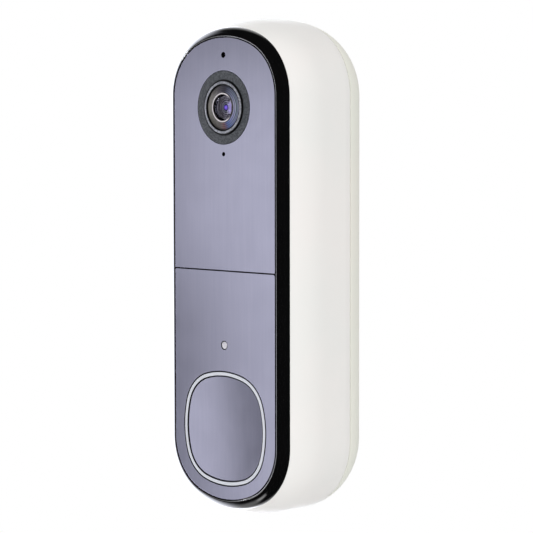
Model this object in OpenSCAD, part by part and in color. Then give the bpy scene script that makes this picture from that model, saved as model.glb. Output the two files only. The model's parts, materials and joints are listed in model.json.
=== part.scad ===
// Battery video doorbell: a tall soft-ended body that clips on a wall plate.
// Frame: origin at the centre of the plate's wall face, +Z up, the face looks along -Y.
// Inside the modules the face frame is used: X right, Y up, Z out of the face, 0 at the face
// panels' front. A height below zero is a depth behind the face.

/* [Body] */
// Overall width of the body
body_w = 47; // [45:0.5:52]
// Overall height of the body
body_h = 131; // [126:1:142]
// Depth from the face panels to the wall
body_d = 35; // [34.6:0.2:40]
// Radius of the outline's four corners, at the face panels
corner_r = 14.4; // [12:0.1:15]
// Thickness of both housings
wall = 2; // [1.6:0.1:2.4]
// How far the sides swell out behind the bezel
swell = 2.24; // [1:0.02:3]
// Depth at which the sides reach the full width
swell_d = 13; // [9:0.5:16]
// Distance from the wall at which the rear rounding starts
rear_len = 14; // [13.5:0.1:15]
// Radius of the rear rounding
rear_r = 14.6; // [13:0.1:17]
// Distance from the start of the rear rounding back to the parting line
parting_back = 2.3; // [1.6:0.1:3]
// Width of the line between front and rear housing
parting_gap = 0.25; // [0.15:0.05:0.5]

/* [Bezel] */
// Width of the rounded black bezel
bezel_w = 2.86; // [2:0.02:3.6]
// Height of the bezel's round, from the face down to the housing
bezel_drop = 2.65; // [2:0.05:3.2]
// Depth of the ledge that carries the face panels
ledge_w = 2; // [1.5:0.1:2.2]
// Thickness of that ledge
ledge_t = 1.45; // [1:0.05:1.6]

/* [Face panels] */
// Thickness of the face panels
panel_t = 1.6; // [1.2:0.1:2]
// Gap between the panels and the bezel
panel_gap = 0.22; // [0.1:0.01:0.4]
// Gap between upper and lower panel
seam_gap = 0.3; // [0.15:0.05:0.6]
// Height of that gap above the middle of the body
seam_up = -0.2; // [-4:0.1:4]
// Radius of the lower panel's two upper corners
seam_corner_r = 0.6; // [0.4:0.1:3]
// Thickness of the adhesive tape under the panels
tape_t = 0.15; // [0.1:0.05:0.3]

/* [Camera] */
// Distance from the top of the face to the lens axis
camera_drop = 18.1; // [17:0.1:22]
// Radius of the grey surround
surround_r = 9.5; // [9:0.05:10]
// Radius of the black outer ring
outer_ring_r = 7.15; // [7.05:0.05:7.4]
// How far the outer ring stands out of the face
ring_proud = 0.3; // [0.2:0.05:0.6]
// Radius of the bright trim ring
trim_r = 6.8; // [6.5:0.05:6.9]
// Radius of the cone's mouth
cone_r = 5.8; // [5.4:0.05:5.9]
// How far the cone rises towards the lens
cone_rise = 0.35; // [0.2:0.05:0.6]
// Radius of the front lens
lens_r = 3.4; // [3:0.1:3.6]
// Height of the front lens' dome
lens_dome = 0.5; // [0.3:0.1:0.7]
// Radius of the lens barrel
barrel_r = 4.6; // [4.5:0.1:5]
// Length of the lens barrel
barrel_l = 7.2; // [6.5:0.1:7.5]
// Radius of the inner lens
inner_lens_r = 2.2; // [1.8:0.1:2.4]

/* [Button] */
// Distance from the bottom of the face to the light ring
ring_rise = 3.75; // [3.3:0.05:6]
// Distance from the face's side edge to the light ring
ring_margin = 3.5; // [2.9:0.05:4.4]
// Radius of the ring's corners
ring_corner_r = 10.34; // [8:0.01:11]
// Width of the light ring
ring_w = 0.9; // [0.8:0.05:1.4]
// Gap on each side of the light ring
ring_gap = 0.3; // [0.25:0.01:0.4]
// Travel of the button
button_travel = 0.6; // [0.3:0.05:0.7]
// Depth of the dish in the button's face
dish = 0.45; // [0.2:0.05:0.8]
// Number of LEDs that light one quarter of the ring
leds_per_quarter = 2; // [1:1:2]

/* [Openings in the face] */
// Radius of the upper microphone hole
mic_r = 0.75; // [0.5:0.05:1]
// Distance from the top of the face to the upper microphone hole
mic_drop = 4.5; // [4.2:0.1:5]
// Radius of the lower microphone hole
mic2_r = 0.55; // [0.4:0.05:0.8]
// Distance from the lens axis down to the lower microphone hole
mic2_drop = 12.1; // [11.8:0.1:13]
// Radius of the status window
status_r = 0.95; // [0.6:0.05:1.3]
// Distance from the button's middle up to the status window
status_up = 22; // [19.5:0.1:24]

/* [Speaker] */
// Width of the speaker
speaker_w = 18; // [14:0.5:19]
// Gap between the speaker and the case bosses above it
speaker_gap = 0.7; // [0.4:0.1:2]
// Depth of the speaker
speaker_d = 13; // [9:0.5:13]
// Number of sound slots in the bottom
slots = 5; // [3:2:7]
// Width of one sound slot
slot_w = 1.2; // [0.8:0.1:1.6]
// Length of one sound slot
slot_l = 7; // [4:0.5:8]
// Distance between sound slots
slot_pitch = 3; // [2.5:0.1:3.4]

/* [Boards and battery] */
// Thickness of the circuit boards
board_t = 1.2; // [0.8:0.1:1.2]
// Distance from the face's side edge to the main board
main_margin = 4.4; // [4:0.1:6]
// Gap between the camera board and the case bosses beside it
camera_board_gap = 0.7; // [0.4:0.1:1.5]
// Height of the camera board
camera_board_h = 20; // [18:0.5:20]
// Gap between the battery tray and the rear housing's side
tray_side_gap = 1.5; // [1:0.1:3]
// Gap between the battery and the terminals above it
battery_end_gap = 1.7; // [1:0.1:6]
// Gap between the battery tray and the main board
tray_front_gap = 2.2; // [1.8:0.1:4]
// Wall of the battery tray
tray_t = 1.2; // [0.8:0.1:1.4]

/* [Wall plate] */
// Thickness of the wall plate
plate_t = 3; // [2.8:0.1:3.4]
// How far the plate stands out of the rear housing
plate_proud = 0.8; // [0.4:0.1:1.2]
// Rim between the plate's recess and the back's edge
rim_w = 1.25; // [1:0.05:2]
// Distance from the top of the face to the upper wall screw
screw_drop = 10.4; // [10:0.1:12]
// Distance from the bottom of the face to the lower wall screw
screw_rise = 26.4; // [22:0.1:32]
// Radius of the wall screw holes
wall_hole_r = 2.2; // [1.8:0.1:2.5]
// Radius of the wall screws' heads
wall_head_r = 4.2; // [3.8:0.1:4.6]
// Rim of the plate beside the opening for the bell wires
wire_rim = 2.8; // [2:0.1:4]
// Height of the opening for the bell wires
wire_h = 12; // [10:0.5:12]
// Width of one hanging tongue on the plate
tongue_w = 5; // [4:0.5:6]
// Length of the hanging tongues
tongue_l = 1; // [0.7:0.1:1.2]

/* [Latch] */
// Width of the latch slider
latch_w = 9; // [8:0.5:9.6]
// Thickness of the latch slider
latch_t = 3; // [2.6:0.1:3]
// Height of the latch slider
latch_h = 6.5; // [6:0.1:7]
// Travel of the latch
latch_travel = 2; // [1.8:0.1:2.2]
// How far the latch's hook reaches behind the plate's lip
hook_grip = 1.3; // [1:0.1:1.4]
// Radius of the hole for the release pin
pin_hole_r = 0.9; // [0.7:0.05:1]
// Radius of the latch spring
spring_r = 1.4; // [1.1:0.05:1.5]
// Wire of the latch spring
spring_wire = 0.4; // [0.3:0.05:0.5]
// Turns of the latch spring
spring_turns = 5; // [3:1:6]

/* [Back] */
// Distance from the top of the face to the sync button
sync_drop = 17.7; // [17:0.1:19]
// Distance from the sync button down to the terminals
terminal_drop = 11.2; // [10.8:0.1:12]
// Radius of the sync button
sync_r = 2.4; // [2:0.1:2.6]
// Travel of the sync button
sync_travel = 0.4; // [0.2:0.05:0.5]
// Radius of the terminal screws' heads
terminal_head_r = 3; // [2.6:0.1:3.2]
// Distance between the terminal screws
terminal_pitch = 14; // [12:0.5:15]

/* [Screws and bosses] */
// Radius of the case screws
case_screw_r = 1.25; // [1:0.05:1.4]
// Radius of the small board and frame screws
small_screw_r = 0.8; // [0.7:0.05:1]
// Radius of the screw bosses in the front housing
boss_r = 2.8; // [2.6:0.1:3]

/* [Fits] */
// Clearance between pieces that are fixed to each other
fit = 0.1; // [0.05:0.01:0.15]
// Clearance between pieces that move
run = 0.3; // [0.25:0.01:0.35]
// Radial clearance of a guided round stem
stem_fit = 0.08; // [0.05:0.01:0.1]

/* [Hidden] */
$fn = 64;
eps = 0.01;

// Colours
white = [0.93, 0.925, 0.9];
slate = [0.5, 0.51, 0.6];
black = [0.05, 0.05, 0.06];
dark_grey = [0.27, 0.29, 0.31];
glow = [0.85, 0.87, 0.9];
steel = [0.7, 0.71, 0.73];
brass = [0.8, 0.66, 0.36];
pcb = [0.1, 0.35, 0.22];
rubber = [0.16, 0.16, 0.17];
plastic = [0.2, 0.2, 0.22];
glass = [0.25, 0.25, 0.4];

// Rounds to a thousandth of a millimetre, so that arcs which meet share their end points
function mm(x) = round(x * 1000) / 1000;

// Outline of the face panels: straight sides, four corner arcs and a crown arc at each end.
// A corner arc passes into the crown arc on the line that leans by this direction.
lean = [5, 12];
lean_len = norm(lean);
body_out = mm(bezel_w + swell);
half_w = mm(body_w / 2 - body_out);
half_h = mm(body_h / 2 - body_out);
corner_x = half_w - corner_r;
crown_r = corner_r + corner_x * lean_len / lean.x;
crown_y = half_h - crown_r;
straight = 2 * (crown_y + corner_x * lean.y / lean.x);
corner_c = [corner_x, straight / 2];
meet_far = corner_c + 10 * lean;
crown_wedge = [corner_c, meet_far, [-meet_far.x, meet_far.y], [-corner_x, straight / 2]];
corner_wedge = [corner_c, [meet_far.x, straight / 2], meet_far];

// Heights along the depth, all below the face
ledge_top = -panel_t - tape_t;
ledge_back = ledge_top - ledge_t;
frame_t = 1.6;
frame_top = ledge_back - 1;
frame_back = frame_top - frame_t;
skirt_w = 1.1;
skirt_out = bezel_w - wall - 0.35;
seal_w = 0.8;
seal_t = 0.8;
seal_in = body_out - wall + 0.35;
swell_r = ((swell_d - bezel_drop) ^ 2 + swell ^ 2) / (2 * swell);
rear_start_d = body_d - rear_len;
parting_d = rear_start_d + parting_back;
plate_front = -body_d + plate_t;
back_face = -body_d + plate_proud;
recess_floor = plate_front + fit;
back_inner = recess_floor + wall;
rear_cx = body_out - rear_r;
// Distance of the rear housing's inner face outside the face outline, at height h
function rear_inner(h) = rear_cx + sqrt((rear_r - wall) ^ 2 - (h + rear_start_d) ^ 2);
turn_x = rear_cx + rear_r * cos(45);
turn_h = -rear_start_d - rear_r * sin(45);
back_out = turn_x - (turn_h - back_face);
recess_out = back_out - rim_w;
plate_out = recess_out - run;

// Places on the face
ring_half = half_w - ring_margin;
camera_y = half_h - camera_drop;
button_y = -half_h + ring_rise + ring_half;
mic_y = half_h - mic_drop;
mic2_y = camera_y - mic2_drop;
status_y = button_y + status_up;

// Soft square of the button: corner arcs and bowed sides, which meet on lines that lean by
// this direction
ring_lean = [7, 24];
ring_lean_len = norm(ring_lean);
ring_unit = mm((ring_half - ring_corner_r) / (ring_lean.x + ring_lean_len - ring_lean.y));
corner_q = ring_unit * ring_lean.x;
ring_side_r = ring_corner_r + ring_unit * ring_lean_len;
side_c = corner_q - ring_unit * ring_lean.y;
side_far = [corner_q, corner_q] + ring_lean;
cap_o = -ring_w - ring_gap;
ring_seat = ledge_top - 0.75;
ring_flange = 0.95;
cap_shell = 1.7;
cap_rim = 1.3;
cap_post_r = 2.4;
cap_flange_top = ring_seat - run;
cap_flange_t = 0.7;
cap_flange_o = cap_o + 0.9;
cap_front = -0.1;
carrier_top = ring_seat;
carrier_in = run - 0.25;
carrier_out = carrier_in + 1;
carrier_flange_o = carrier_out + 0.7;
gasket_t = 0.6;
gasket_top = cap_flange_top - cap_flange_t - button_travel - run;
carrier_floor = gasket_top - gasket_t;
carrier_floor_t = 1.2;
carrier_back = carrier_floor - carrier_floor_t;
stem_r = 1.5;
stem_l = 1;
switch_half = 3;
switch_top = carrier_back + 1.9;
stem_top = switch_top + button_travel + fit;
led_size = 1.4;
led_t = 0.8;

// Case screws, whose heads lie beside the rim of the recess for the plate, and frame screws
case_head_r = 2.2;
case_head_t = 1.5;
case_angle = 37;
case_reach = corner_r + recess_out - case_head_r - fit;
case_x = corner_x + case_reach * cos(case_angle);
case_y = straight / 2 + case_reach * sin(case_angle);
case_bite = 8;
case_hole = case_bite + 3;
rear_boss_r = boss_r + 0.6;
small_head_r = 1.5;
small_head_t = 0.8;
small_bite = 3.5;
frame_bite = 4;
side_boss_x = half_w + skirt_out - skirt_w - small_head_r - fit;
side_boss_y = 8;
side_boss_l = 6;
boss_reach = body_out - wall + 0.3;
boss_back = -parting_d + parting_gap / 2 + fit;
low_boss_front = carrier_back - board_t - run - 1;
rib_t = 1.4;
rib_l = 12;
past = 5;
wall_screw_y = [half_h - screw_drop, -half_h + screw_rise];

// Camera stack
holder_half = 6;
holder_bore = 3.6;
camera_board_w = 2 * (case_x - boss_r - camera_board_gap);
camera_screw_y = camera_board_h / 2 - 1.8;
ring_lip_r = 0.15;
ring_deep = 3;
ring_foot_t = 0.8;
lens_gap = 0.02;
groove_w = 0.2;
cone_low = 0.05;
cone_t = 0.5;
cone_skirt = 0.6;
cone_top = cone_low + cone_rise;
clamp_w = 0.46;
clamp_r = lens_r + lens_gap + clamp_w;
lens_back = -0.9;
lens_edge = -0.1;
boot_r = 1.9;
mic_size = [3.4, 2.4];
mic_t = 1;
holder_t = 3;
sensor_t = 1;
barrel_back = lens_back - barrel_l;
mouth_r = lens_r - 0.4;
shelf_top = lens_back - 0.8;
shelf_w = 0.5;
inner_t = 1;
inner_dome = 0.5;
inner_edge = shelf_top;
inner_back = inner_edge - inner_t;
holder_back = barrel_back - holder_t;
camera_board_top = holder_back - sensor_t;
infrared_t = 0.8;
infrared_top = frame_top - 0.3;
infrared_leds_r = (surround_r + outer_ring_r) / 2;
surround_t = 2.2;

// Main board and its posts
main_top = camera_board_top - 0.3;
main_back = main_top - board_t;
main_w = 2 * (half_w - main_margin);
main_low = button_y + ring_half + 3;
main_high = camera_y - camera_board_h / 2 - 4.5;
post_r = 1.9;
post_x = main_w / 2 - post_r - 0.7;
post_ys = [main_low + 3, main_high - 3];
can_margin = 5;
can_t = 2.2;
flex_t = 0.3;
flex_pad = 2;
camera_flex_w = 5;
camera_flex_x = 4.8;
camera_flex_up = 3.8;
camera_flex_lap = 3;
button_flex_w = 6;
button_flex_in = 4;
flex_bend = 1;
flex_rise = 0.2;
button_flex_lap = 5;
antenna_margin = 7;
antenna_h = 3;
antenna_t = 0.8;

// Latch at the lower end
latch_low = -half_h + 5.4;
latch_back = back_inner - wall + 1.3;
pocket_wall = 1.5;
pocket_low = latch_low - run;
spring_l = 5;
pocket_high = latch_low + latch_h + spring_l;
cover_back = latch_back + latch_t + run;
cover_t = 1.2;
cover_screw_y = pocket_low - 2.4;
hook_low = latch_low + 1.4;
hook_t = 1.2;
hook_w = 6;
lip_t = 1;
lip_y = hook_low + hook_grip;
tongue_top = lip_y + run + 2.5;
wall_head_t = 1.6;
hook_front = plate_front - lip_t - 0.2;
tongue_x = 6.5;
tongue_t = 1;

// Battery stack, built up from the back wall and from the latch
battery_low = pocket_high + pocket_wall + 0.2 + tray_t + fit;
foam_t = 0.4;
foam_h = 12;
foam_margin = 3;
battery_back = back_inner + foam_t;
tray_front = main_back - tray_front_gap;
battery_front = tray_front - tray_t - fit;
tray_half = half_w + rear_inner(back_inner) - tray_side_gap;
window_rim = 4;
battery_w = 2 * (tray_half - tray_t - fit);

// Rear board, terminals and sync button
sync_y = half_h - sync_drop;
terminal_y = sync_y - terminal_drop;
block_low = terminal_y - wire_h / 2 - 1;
battery_high = block_low - battery_end_gap - fit - tray_t;
battery_h = battery_high - battery_low;
wire_w = 2 * (half_w + plate_out - wire_rim);
pocket_d = 3;
pocket_floor = recess_floor + pocket_d;
block_wall = 1.5;
post_back = pocket_floor;
post_l = 4.4;
rear_board_back = post_back + post_l;
rear_board_top = rear_board_back + board_t;
sync_out = recess_floor + 0.25;
sync_collar = back_inner + 1;
terminal_post_r = 2.6;
sync_flange_t = 0.8;
sync_switch_half = 2.5;

// Speaker in the lower end
speaker_low = -half_h - 0.6;
speaker_front = carrier_back - board_t - 1.4;
speaker_h = -case_y - boss_r - speaker_gap - speaker_low;
speaker_rim = 1.2;
voice_r = 2;
speaker_cone_d = 3;
duct_t = 1.2;
mesh_t = 0.3;
mesh_margin = 0.3;

// ---- Shared shapes ----------------------------------------------------------------------

// Places what is drawn in the face frame
module on_face() {
    translate([0, -body_d, 0]) rotate([90, 0, 0]) children();
}

// Extrudes a flat shape from height h0 up to height h1
module slab(h0, h1) {
    translate([0, 0, h0]) linear_extrude(h1 - h0) children();
}

// Round bar along the depth
module rod(r, h0, h1) {
    translate([0, 0, h0]) cylinder(r = r, h = h1 - h0);
}

// Round tube along the depth
module tube(r, bore, h0, h1) {
    difference() {
        rod(r, h0, h1);
        rod(bore, h0 - eps, h1 + eps);
    }
}

// Face outline, moved outward by o
module face_outline(o = 0) {
    out = mm(o);
    square([2 * (half_w + out), straight], center = true);
    for (end = [0, 1]) mirror([0, end]) {
        intersection() {
            translate([0, crown_y]) circle(crown_r + out);
            polygon(crown_wedge);
        }
        for (side = [0, 1]) mirror([side, 0]) intersection() {
            translate(corner_c) circle(corner_r + out);
            polygon(corner_wedge);
        }
    }
}

// Sweeps a profile round the face outline: x is the distance outside it, y the height
module around_face() {
    for (side = [0, 1]) mirror([side, 0, 0])
        translate([half_w, straight / 2, 0]) rotate([90, 0, 0]) linear_extrude(straight) children();
    for (end = [0, 1]) mirror([0, end, 0]) {
        intersection() {
            translate([0, crown_y, 0]) rotate_extrude() translate([crown_r, 0]) children();
            slab(-body_d - past, past) polygon(crown_wedge);
        }
        for (side = [0, 1]) mirror([side, 0, 0]) intersection() {
            translate([corner_x, straight / 2, 0]) rotate_extrude() translate([corner_r, 0]) children();
            slab(-body_d - past, past) polygon(corner_wedge);
        }
    }
}

// Soft square of the button, moved outward by o from the ring's outer edge
module soft_square(o = 0) {
    out = mm(o);
    q = corner_q;
    far = side_far;
    polygon([[q, q], [-q, q], [-q, -q], [q, -q]]);
    for (quarter = [0 : 3]) rotate(90 * quarter) {
        intersection() {
            translate([0, side_c]) circle(ring_side_r + out);
            polygon([[q, q], far, [-far.x, far.y], [-q, q]]);
        }
        intersection() {
            translate([q, q]) circle(ring_corner_r + out);
            polygon([[q, q], [far.y, far.x], [far.y, far.y], far]);
        }
    }
}

// Rectangle with round corners
module round_rect(w, h, r) {
    square([w - 2 * r, h], center = true);
    square([w, h - 2 * r], center = true);
    for (x = [-1, 1], y = [-1, 1]) translate([x * (w / 2 - r), y * (h / 2 - r)]) circle(r);
}

// The four places of the case screws
module at_case_screws() {
    for (x = [-1, 1], y = [-1, 1]) translate([x * case_x, y * case_y, 0]) children();
}

// The four places of the frame screws: two upper bosses and two side bosses
module at_frame_screws() {
    for (x = [-1, 1]) {
        translate([x * case_x, case_y, 0]) children();
        translate([x * side_boss_x, -side_boss_y, 0]) children();
    }
}

// The posts of the main board
module at_posts() {
    for (x = [-1, 1], y = post_ys) translate([x * post_x, y, 0]) children();
}

// The two posts and screws of the camera board
module at_camera_screws() {
    for (y = [-1, 1]) translate([0, camera_y + y * camera_screw_y, 0]) children();
}

// ---- Housings ---------------------------------------------------------------------------

// Section of the front housing's wall, cut to the given distance inside its outer face
module front_section(inset) {
    intersection() {
        translate([body_out - swell_r, -swell_d]) circle(swell_r - inset);
        translate([-corner_r, -swell_d]) square([2 * corner_r, swell_d - bezel_drop]);
    }
    translate([-corner_r, -rear_start_d])
        square([corner_r + body_out - inset, rear_start_d - swell_d]);
    intersection() {
        translate([rear_cx, -rear_start_d]) circle(rear_r - inset);
        translate([-corner_r, -parting_d + parting_gap / 2])
            square([2 * corner_r, parting_d - parting_gap / 2 - rear_start_d]);
    }
}

module front_housing() {
    color(white) on_face() difference() {
        union() {
            around_face() difference() {
                front_section(0);
                front_section(wall);
                // open front and back of the inner shape
                translate([-corner_r, -parting_d]) square([corner_r + bezel_w - swell_r, parting_d]);
                // groove for the seal
                translate([seal_in - fit, -parting_d - eps]) square([seal_w + 2 * fit, seal_t + eps]);
            }
            // the bosses, each on a rib from the nearest wall
            for (x = [-1, 1]) {
                for (y = [-1, 1]) case_boss(x, y);
                side_boss(x);
            }
            speaker_duct();
        }
        at_case_screws() rod(case_screw_r + fit, -parting_d, -parting_d + case_hole);
        at_frame_screws() rod(small_screw_r + fit, frame_back - frame_bite - 1, frame_back + eps);
        for (i = [0 : slots - 1]) translate([(i - (slots - 1) / 2) * slot_pitch, 0, 0])
            sound_slot();
    }
}

// Round boss at a place, with a rib that runs to the wall at an angle
module ribbed_boss(place, angle, back, front) {
    translate(place) rod(boss_r, back, front);
    intersection() {
        translate([place.x, place.y, back]) rotate([0, 0, angle])
            translate([0, -rib_t / 2, 0]) cube([rib_l, rib_t, front - back]);
        slab(back, front) face_outline(boss_reach);
    }
}

// Boss that takes a case screw from behind; the upper ones also carry the frame
module case_boss(x, y) {
    ribbed_boss([x * case_x, y * case_y], y * (x > 0 ? 45 : 135), boss_back,
        y > 0 ? frame_back : low_boss_front);
}

// Boss on the side wall that carries the frame
module side_boss(x) {
    ribbed_boss([x * side_boss_x, -side_boss_y], x > 0 ? 0 : 180, frame_back - side_boss_l,
        frame_back);
}

module sound_slot() {
    translate([0, -half_h - body_out - 1, speaker_front - speaker_d / 2]) rotate([-90, 0, 0])
        linear_extrude(wall + 4) round_slot(slot_w, slot_l);
}

// Collar between the bottom wall and the speaker
module speaker_duct() {
    low = -half_h - body_out;
    back = speaker_front - speaker_d;
    intersection() {
        difference() {
            translate([-speaker_w / 2, low, back])
                cube([speaker_w, speaker_low - mesh_t - low, speaker_d]);
            translate([duct_t - speaker_w / 2, low - 1, back + duct_t])
                cube([speaker_w - 2 * duct_t, speaker_low - low + 2, speaker_d - 2 * duct_t]);
        }
        slab(back, speaker_front) face_outline(boss_reach);
    }
}

// Slot with round ends
module round_slot(w, l) {
    square([w, l - w], center = true);
    for (end = [-1, 1]) translate([0, end * (l - w) / 2]) circle(w / 2);
}

// Section of the rear housing's wall
module rear_section() {
    deep = rear_cx - rear_r;
    difference() {
        union() {
            intersection() {
                translate([rear_cx, -rear_start_d]) circle(rear_r);
                translate([rear_cx, turn_h])
                    square([2 * rear_r, -parting_d - parting_gap / 2 - turn_h]);
            }
            polygon([[recess_out - 2, turn_h], [turn_x, turn_h], [back_out, back_face],
                [recess_out - 2, back_face]]);
        }
        // inside of the shell
        intersection() {
            translate([rear_cx, -rear_start_d]) circle(rear_r - wall);
            translate([deep, back_inner]) square([2 * rear_r, -back_inner]);
        }
        translate([deep, back_inner]) square([recess_out - deep, -back_inner]);
        // recess for the wall plate
        translate([deep, back_face - eps])
            square([recess_out - deep, recess_floor - back_face + eps]);
    }
}

module rear_housing() {
    color(white) on_face() difference() {
        union() {
            around_face() rear_section();
            slab(recess_floor, back_inner) face_outline(recess_out + 0.5);
            at_case_screws() rod(rear_boss_r, recess_floor, -parting_d - parting_gap / 2);
            // block round the terminal pocket
            slab(recess_floor, pocket_floor + block_wall) translate([0, terminal_y])
                round_rect(wire_w + 2, wire_h + 2, 2);
            latch_block();
            // collar that guides the sync button
            translate([0, sync_y, 0]) rod(sync_r + run + 1, recess_floor, sync_collar);
        }
        at_case_screws() {
            rod(case_screw_r + fit, recess_floor - eps, -parting_d + eps);
            rod(case_head_r + fit, recess_floor - eps, recess_floor + case_head_t + fit);
        }
        terminal_pocket();
        latch_pocket();
        translate([0, sync_y, 0]) rod(sync_r + run, recess_floor - eps, sync_collar + eps);
        hanging_slots();
    }
}

module terminal_pocket() {
    slab(recess_floor - eps, pocket_floor) translate([0, terminal_y])
        round_rect(wire_w - 1, wire_h - 1, 1.5);
    for (x = [-1, 1]) translate([x * terminal_pitch / 2, terminal_y, 0])
        rod(terminal_post_r + fit, pocket_floor - eps, pocket_floor + block_wall + eps);
}

// Solid block that holds the latch and the pin's bore
module latch_block() {
    intersection() {
        translate([-latch_w / 2 - run - pocket_wall, -half_h - 2, recess_floor])
            cube([latch_w + 2 * (run + pocket_wall), pocket_high + pocket_wall + half_h + 2,
                cover_back - recess_floor]);
        union() {
            slab(recess_floor, back_inner + 0.6) face_outline(0);
            slab(back_inner + 0.6, cover_back) face_outline(rear_inner(cover_back) + 0.2);
        }
    }
}

// The two screws of the latch cover
module at_cover_screws() {
    for (x = [-1, 1]) translate([x * latch_w / 2, cover_screw_y, 0]) children();
}

module latch_pocket() {
    // room for the slider and its spring
    translate([-latch_w / 2 - run, pocket_low, latch_back - run])
        cube([latch_w + 2 * run, pocket_high - pocket_low, latch_t + 2 * run + eps]);
    // window for the hook
    translate([-hook_w / 2 - run, hook_low - run, recess_floor - eps])
        cube([hook_w + 2 * run, tongue_top - hook_low + latch_travel + 2 * run,
            latch_back - recess_floor]);
    // holes for the cover's screws
    at_cover_screws() rod(small_screw_r + fit, cover_back - 3, cover_back + eps);
    // bore for the release pin
    translate([0, -half_h - body_out, latch_back + latch_t / 2]) rotate([-90, 0, 0])
        cylinder(r = pin_hole_r, h = body_out + half_h + pocket_low + eps);
}

// Slots behind the rim that take the plate's tongues
module hanging_slots() {
    for (x = [-1, 1]) translate([x * tongue_x - tongue_w / 2 - run, half_h + recess_out - 2,
            plate_front - tongue_t - run])
        cube([tongue_w + 2 * run, 2 + tongue_l, tongue_t + run + fit]);
}

module housing_seal() {
    color(rubber) on_face() around_face()
        translate([seal_in, -parting_d - parting_gap / 2])
            square([seal_w, seal_t + parting_gap / 2 - fit]);
}

// ---- Face -------------------------------------------------------------------------------

module bezel() {
    color(black) on_face() around_face() difference() {
        union() {
            // quarter round
            intersection() {
                translate([bezel_w - bezel_drop, -bezel_drop]) circle(bezel_drop);
                translate([bezel_w - bezel_drop, -bezel_drop]) square(bezel_drop);
            }
            translate([0, -bezel_drop]) square([bezel_w - bezel_drop, bezel_drop]);
            translate([0, frame_top]) square([skirt_out, -bezel_drop - frame_top + eps]);
            translate([skirt_out - skirt_w, frame_top]) square([skirt_w, ledge_top - frame_top]);
            // ledge under the panels
            translate([-ledge_w, ledge_back]) square([ledge_w + skirt_out, ledge_t]);
        }
        // lip round the panels, with a small chamfer
        translate([-ledge_w - eps, ledge_top]) square([ledge_w + panel_gap + eps, panel_t + 1]);
        polygon([[panel_gap - eps, eps], [panel_gap - eps, -0.2], [panel_gap + 0.2, eps]]);
    }
}

module panel_tape() {
    color(rubber) on_face() around_face()
        translate([-ledge_w + 0.2, ledge_top]) square([ledge_w - 0.3, tape_t]);
}

// Part of the face above or below the seam
module face_part(upper) {
    edge = seam_up + (upper ? 1 : -1) * seam_gap / 2;
    intersection() {
        face_outline(0);
        if (upper) translate([-half_w - 1, edge]) square([2 * half_w + 2, half_h]);
        else union() {
            translate([-half_w - 1, edge - 2 * half_h - seam_corner_r])
                square([2 * half_w + 2, 2 * half_h]);
            translate([-half_w + seam_corner_r, edge - seam_corner_r - 1])
                square([2 * (half_w - seam_corner_r), seam_corner_r + 1]);
            for (x = [-1, 1]) translate([x * (half_w - seam_corner_r), edge - seam_corner_r])
                circle(seam_corner_r);
        }
    }
}

module upper_face_panel() {
    color(slate) on_face() difference() {
        slab(-panel_t, 0) face_part(true);
        translate([0, camera_y, 0]) rod(surround_r + fit, -panel_t - eps, eps);
        translate([0, mic_y, 0]) rod(mic_r, -panel_t - eps, eps);
        translate([0, mic2_y, 0]) rod(mic2_r, -panel_t - eps, eps);
    }
}

module lower_face_panel() {
    color(slate) on_face() difference() {
        slab(-panel_t, 0) face_part(false);
        translate([0, button_y, 0]) slab(-panel_t - eps, eps) soft_square(ring_gap);
        translate([0, status_y, 0]) rod(status_r + fit, -panel_t - eps, eps);
    }
}

module status_window() {
    color(glow) on_face() translate([0, status_y, 0]) {
        rod(status_r, frame_top, -0.05);
        rod(status_r + 0.8, frame_top, ledge_top);
        rod(status_r, main_top + 1.2, frame_top);
    }
}

module status_sensor() {
    color(plastic) on_face() translate([0, status_y, 0]) slab(main_top, main_top + 1)
        square(2, center = true);
}

// ---- Button -----------------------------------------------------------------------------

module button_cap() {
    // the dish runs out past the corners, so it cuts the whole edge
    reach = ring_half + cap_o + 2;
    dish_r = (reach ^ 2 + dish ^ 2) / (2 * dish);
    color(slate) on_face() translate([0, button_y, 0]) {
        difference() {
            union() {
                slab(cap_flange_top, cap_front) soft_square(cap_o);
                slab(cap_flange_top - cap_flange_t, cap_flange_top) soft_square(cap_flange_o);
            }
            // dished face
            rotate_extrude() intersection() {
                translate([0, cap_front - dish + dish_r]) circle(dish_r, $fn = 720);
                translate([0, cap_front - 2 * dish]) square([reach + 2, 3 * dish]);
            }
            // hollow underside
                slab(cap_flange_top - cap_flange_t - 1, cap_front - cap_shell)
                soft_square(cap_o - cap_rim);
        }
        // post that presses the switch
        rod(cap_post_r, stem_top, cap_front - cap_shell);
    }
}

module switch_stem() {
    color(black) on_face() translate([0, button_y, 0]) rod(stem_r, stem_top - stem_l, stem_top);
}

module button_light_ring() {
    color(glow) on_face() translate([0, button_y, 0]) difference() {
        union() {
            slab(ring_seat, 0.02) soft_square(0);
            slab(ring_seat, -panel_t - 0.05) soft_square(ring_flange);
        }
        slab(ledge_top - 1, 1) soft_square(-ring_w);
    }
}

module button_gasket() {
    color(rubber) on_face() translate([0, button_y, 0]) difference() {
        slab(carrier_floor, gasket_top) soft_square(cap_flange_o - 0.3);
        slab(carrier_floor - 1, gasket_top + 1) soft_square(cap_flange_o - 2.2);
    }
}

module button_carrier() {
    color(plastic) on_face() translate([0, button_y, 0]) difference() {
        union() {
            slab(carrier_back, carrier_top) soft_square(carrier_out);
            slab(frame_top, frame_top + 0.8) soft_square(carrier_flange_o);
        }
        slab(carrier_floor, carrier_top + 1) soft_square(carrier_in);
        // window for the switch and for each LED
        slab(carrier_back - 1, carrier_floor + 1) square(2 * switch_half + 1, center = true);
        at_leds() slab(carrier_back - 1, carrier_floor + 1) square(led_size + 0.4, center = true);
        at_button_screws() rod(small_screw_r + fit, carrier_back - 1, carrier_floor + 1);
    }
}

// The two screws that hold the board to the carrier
module at_button_screws() {
    for (x = [-1, 1]) translate([x * (switch_half + 5), 0, 0]) children();
}

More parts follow.
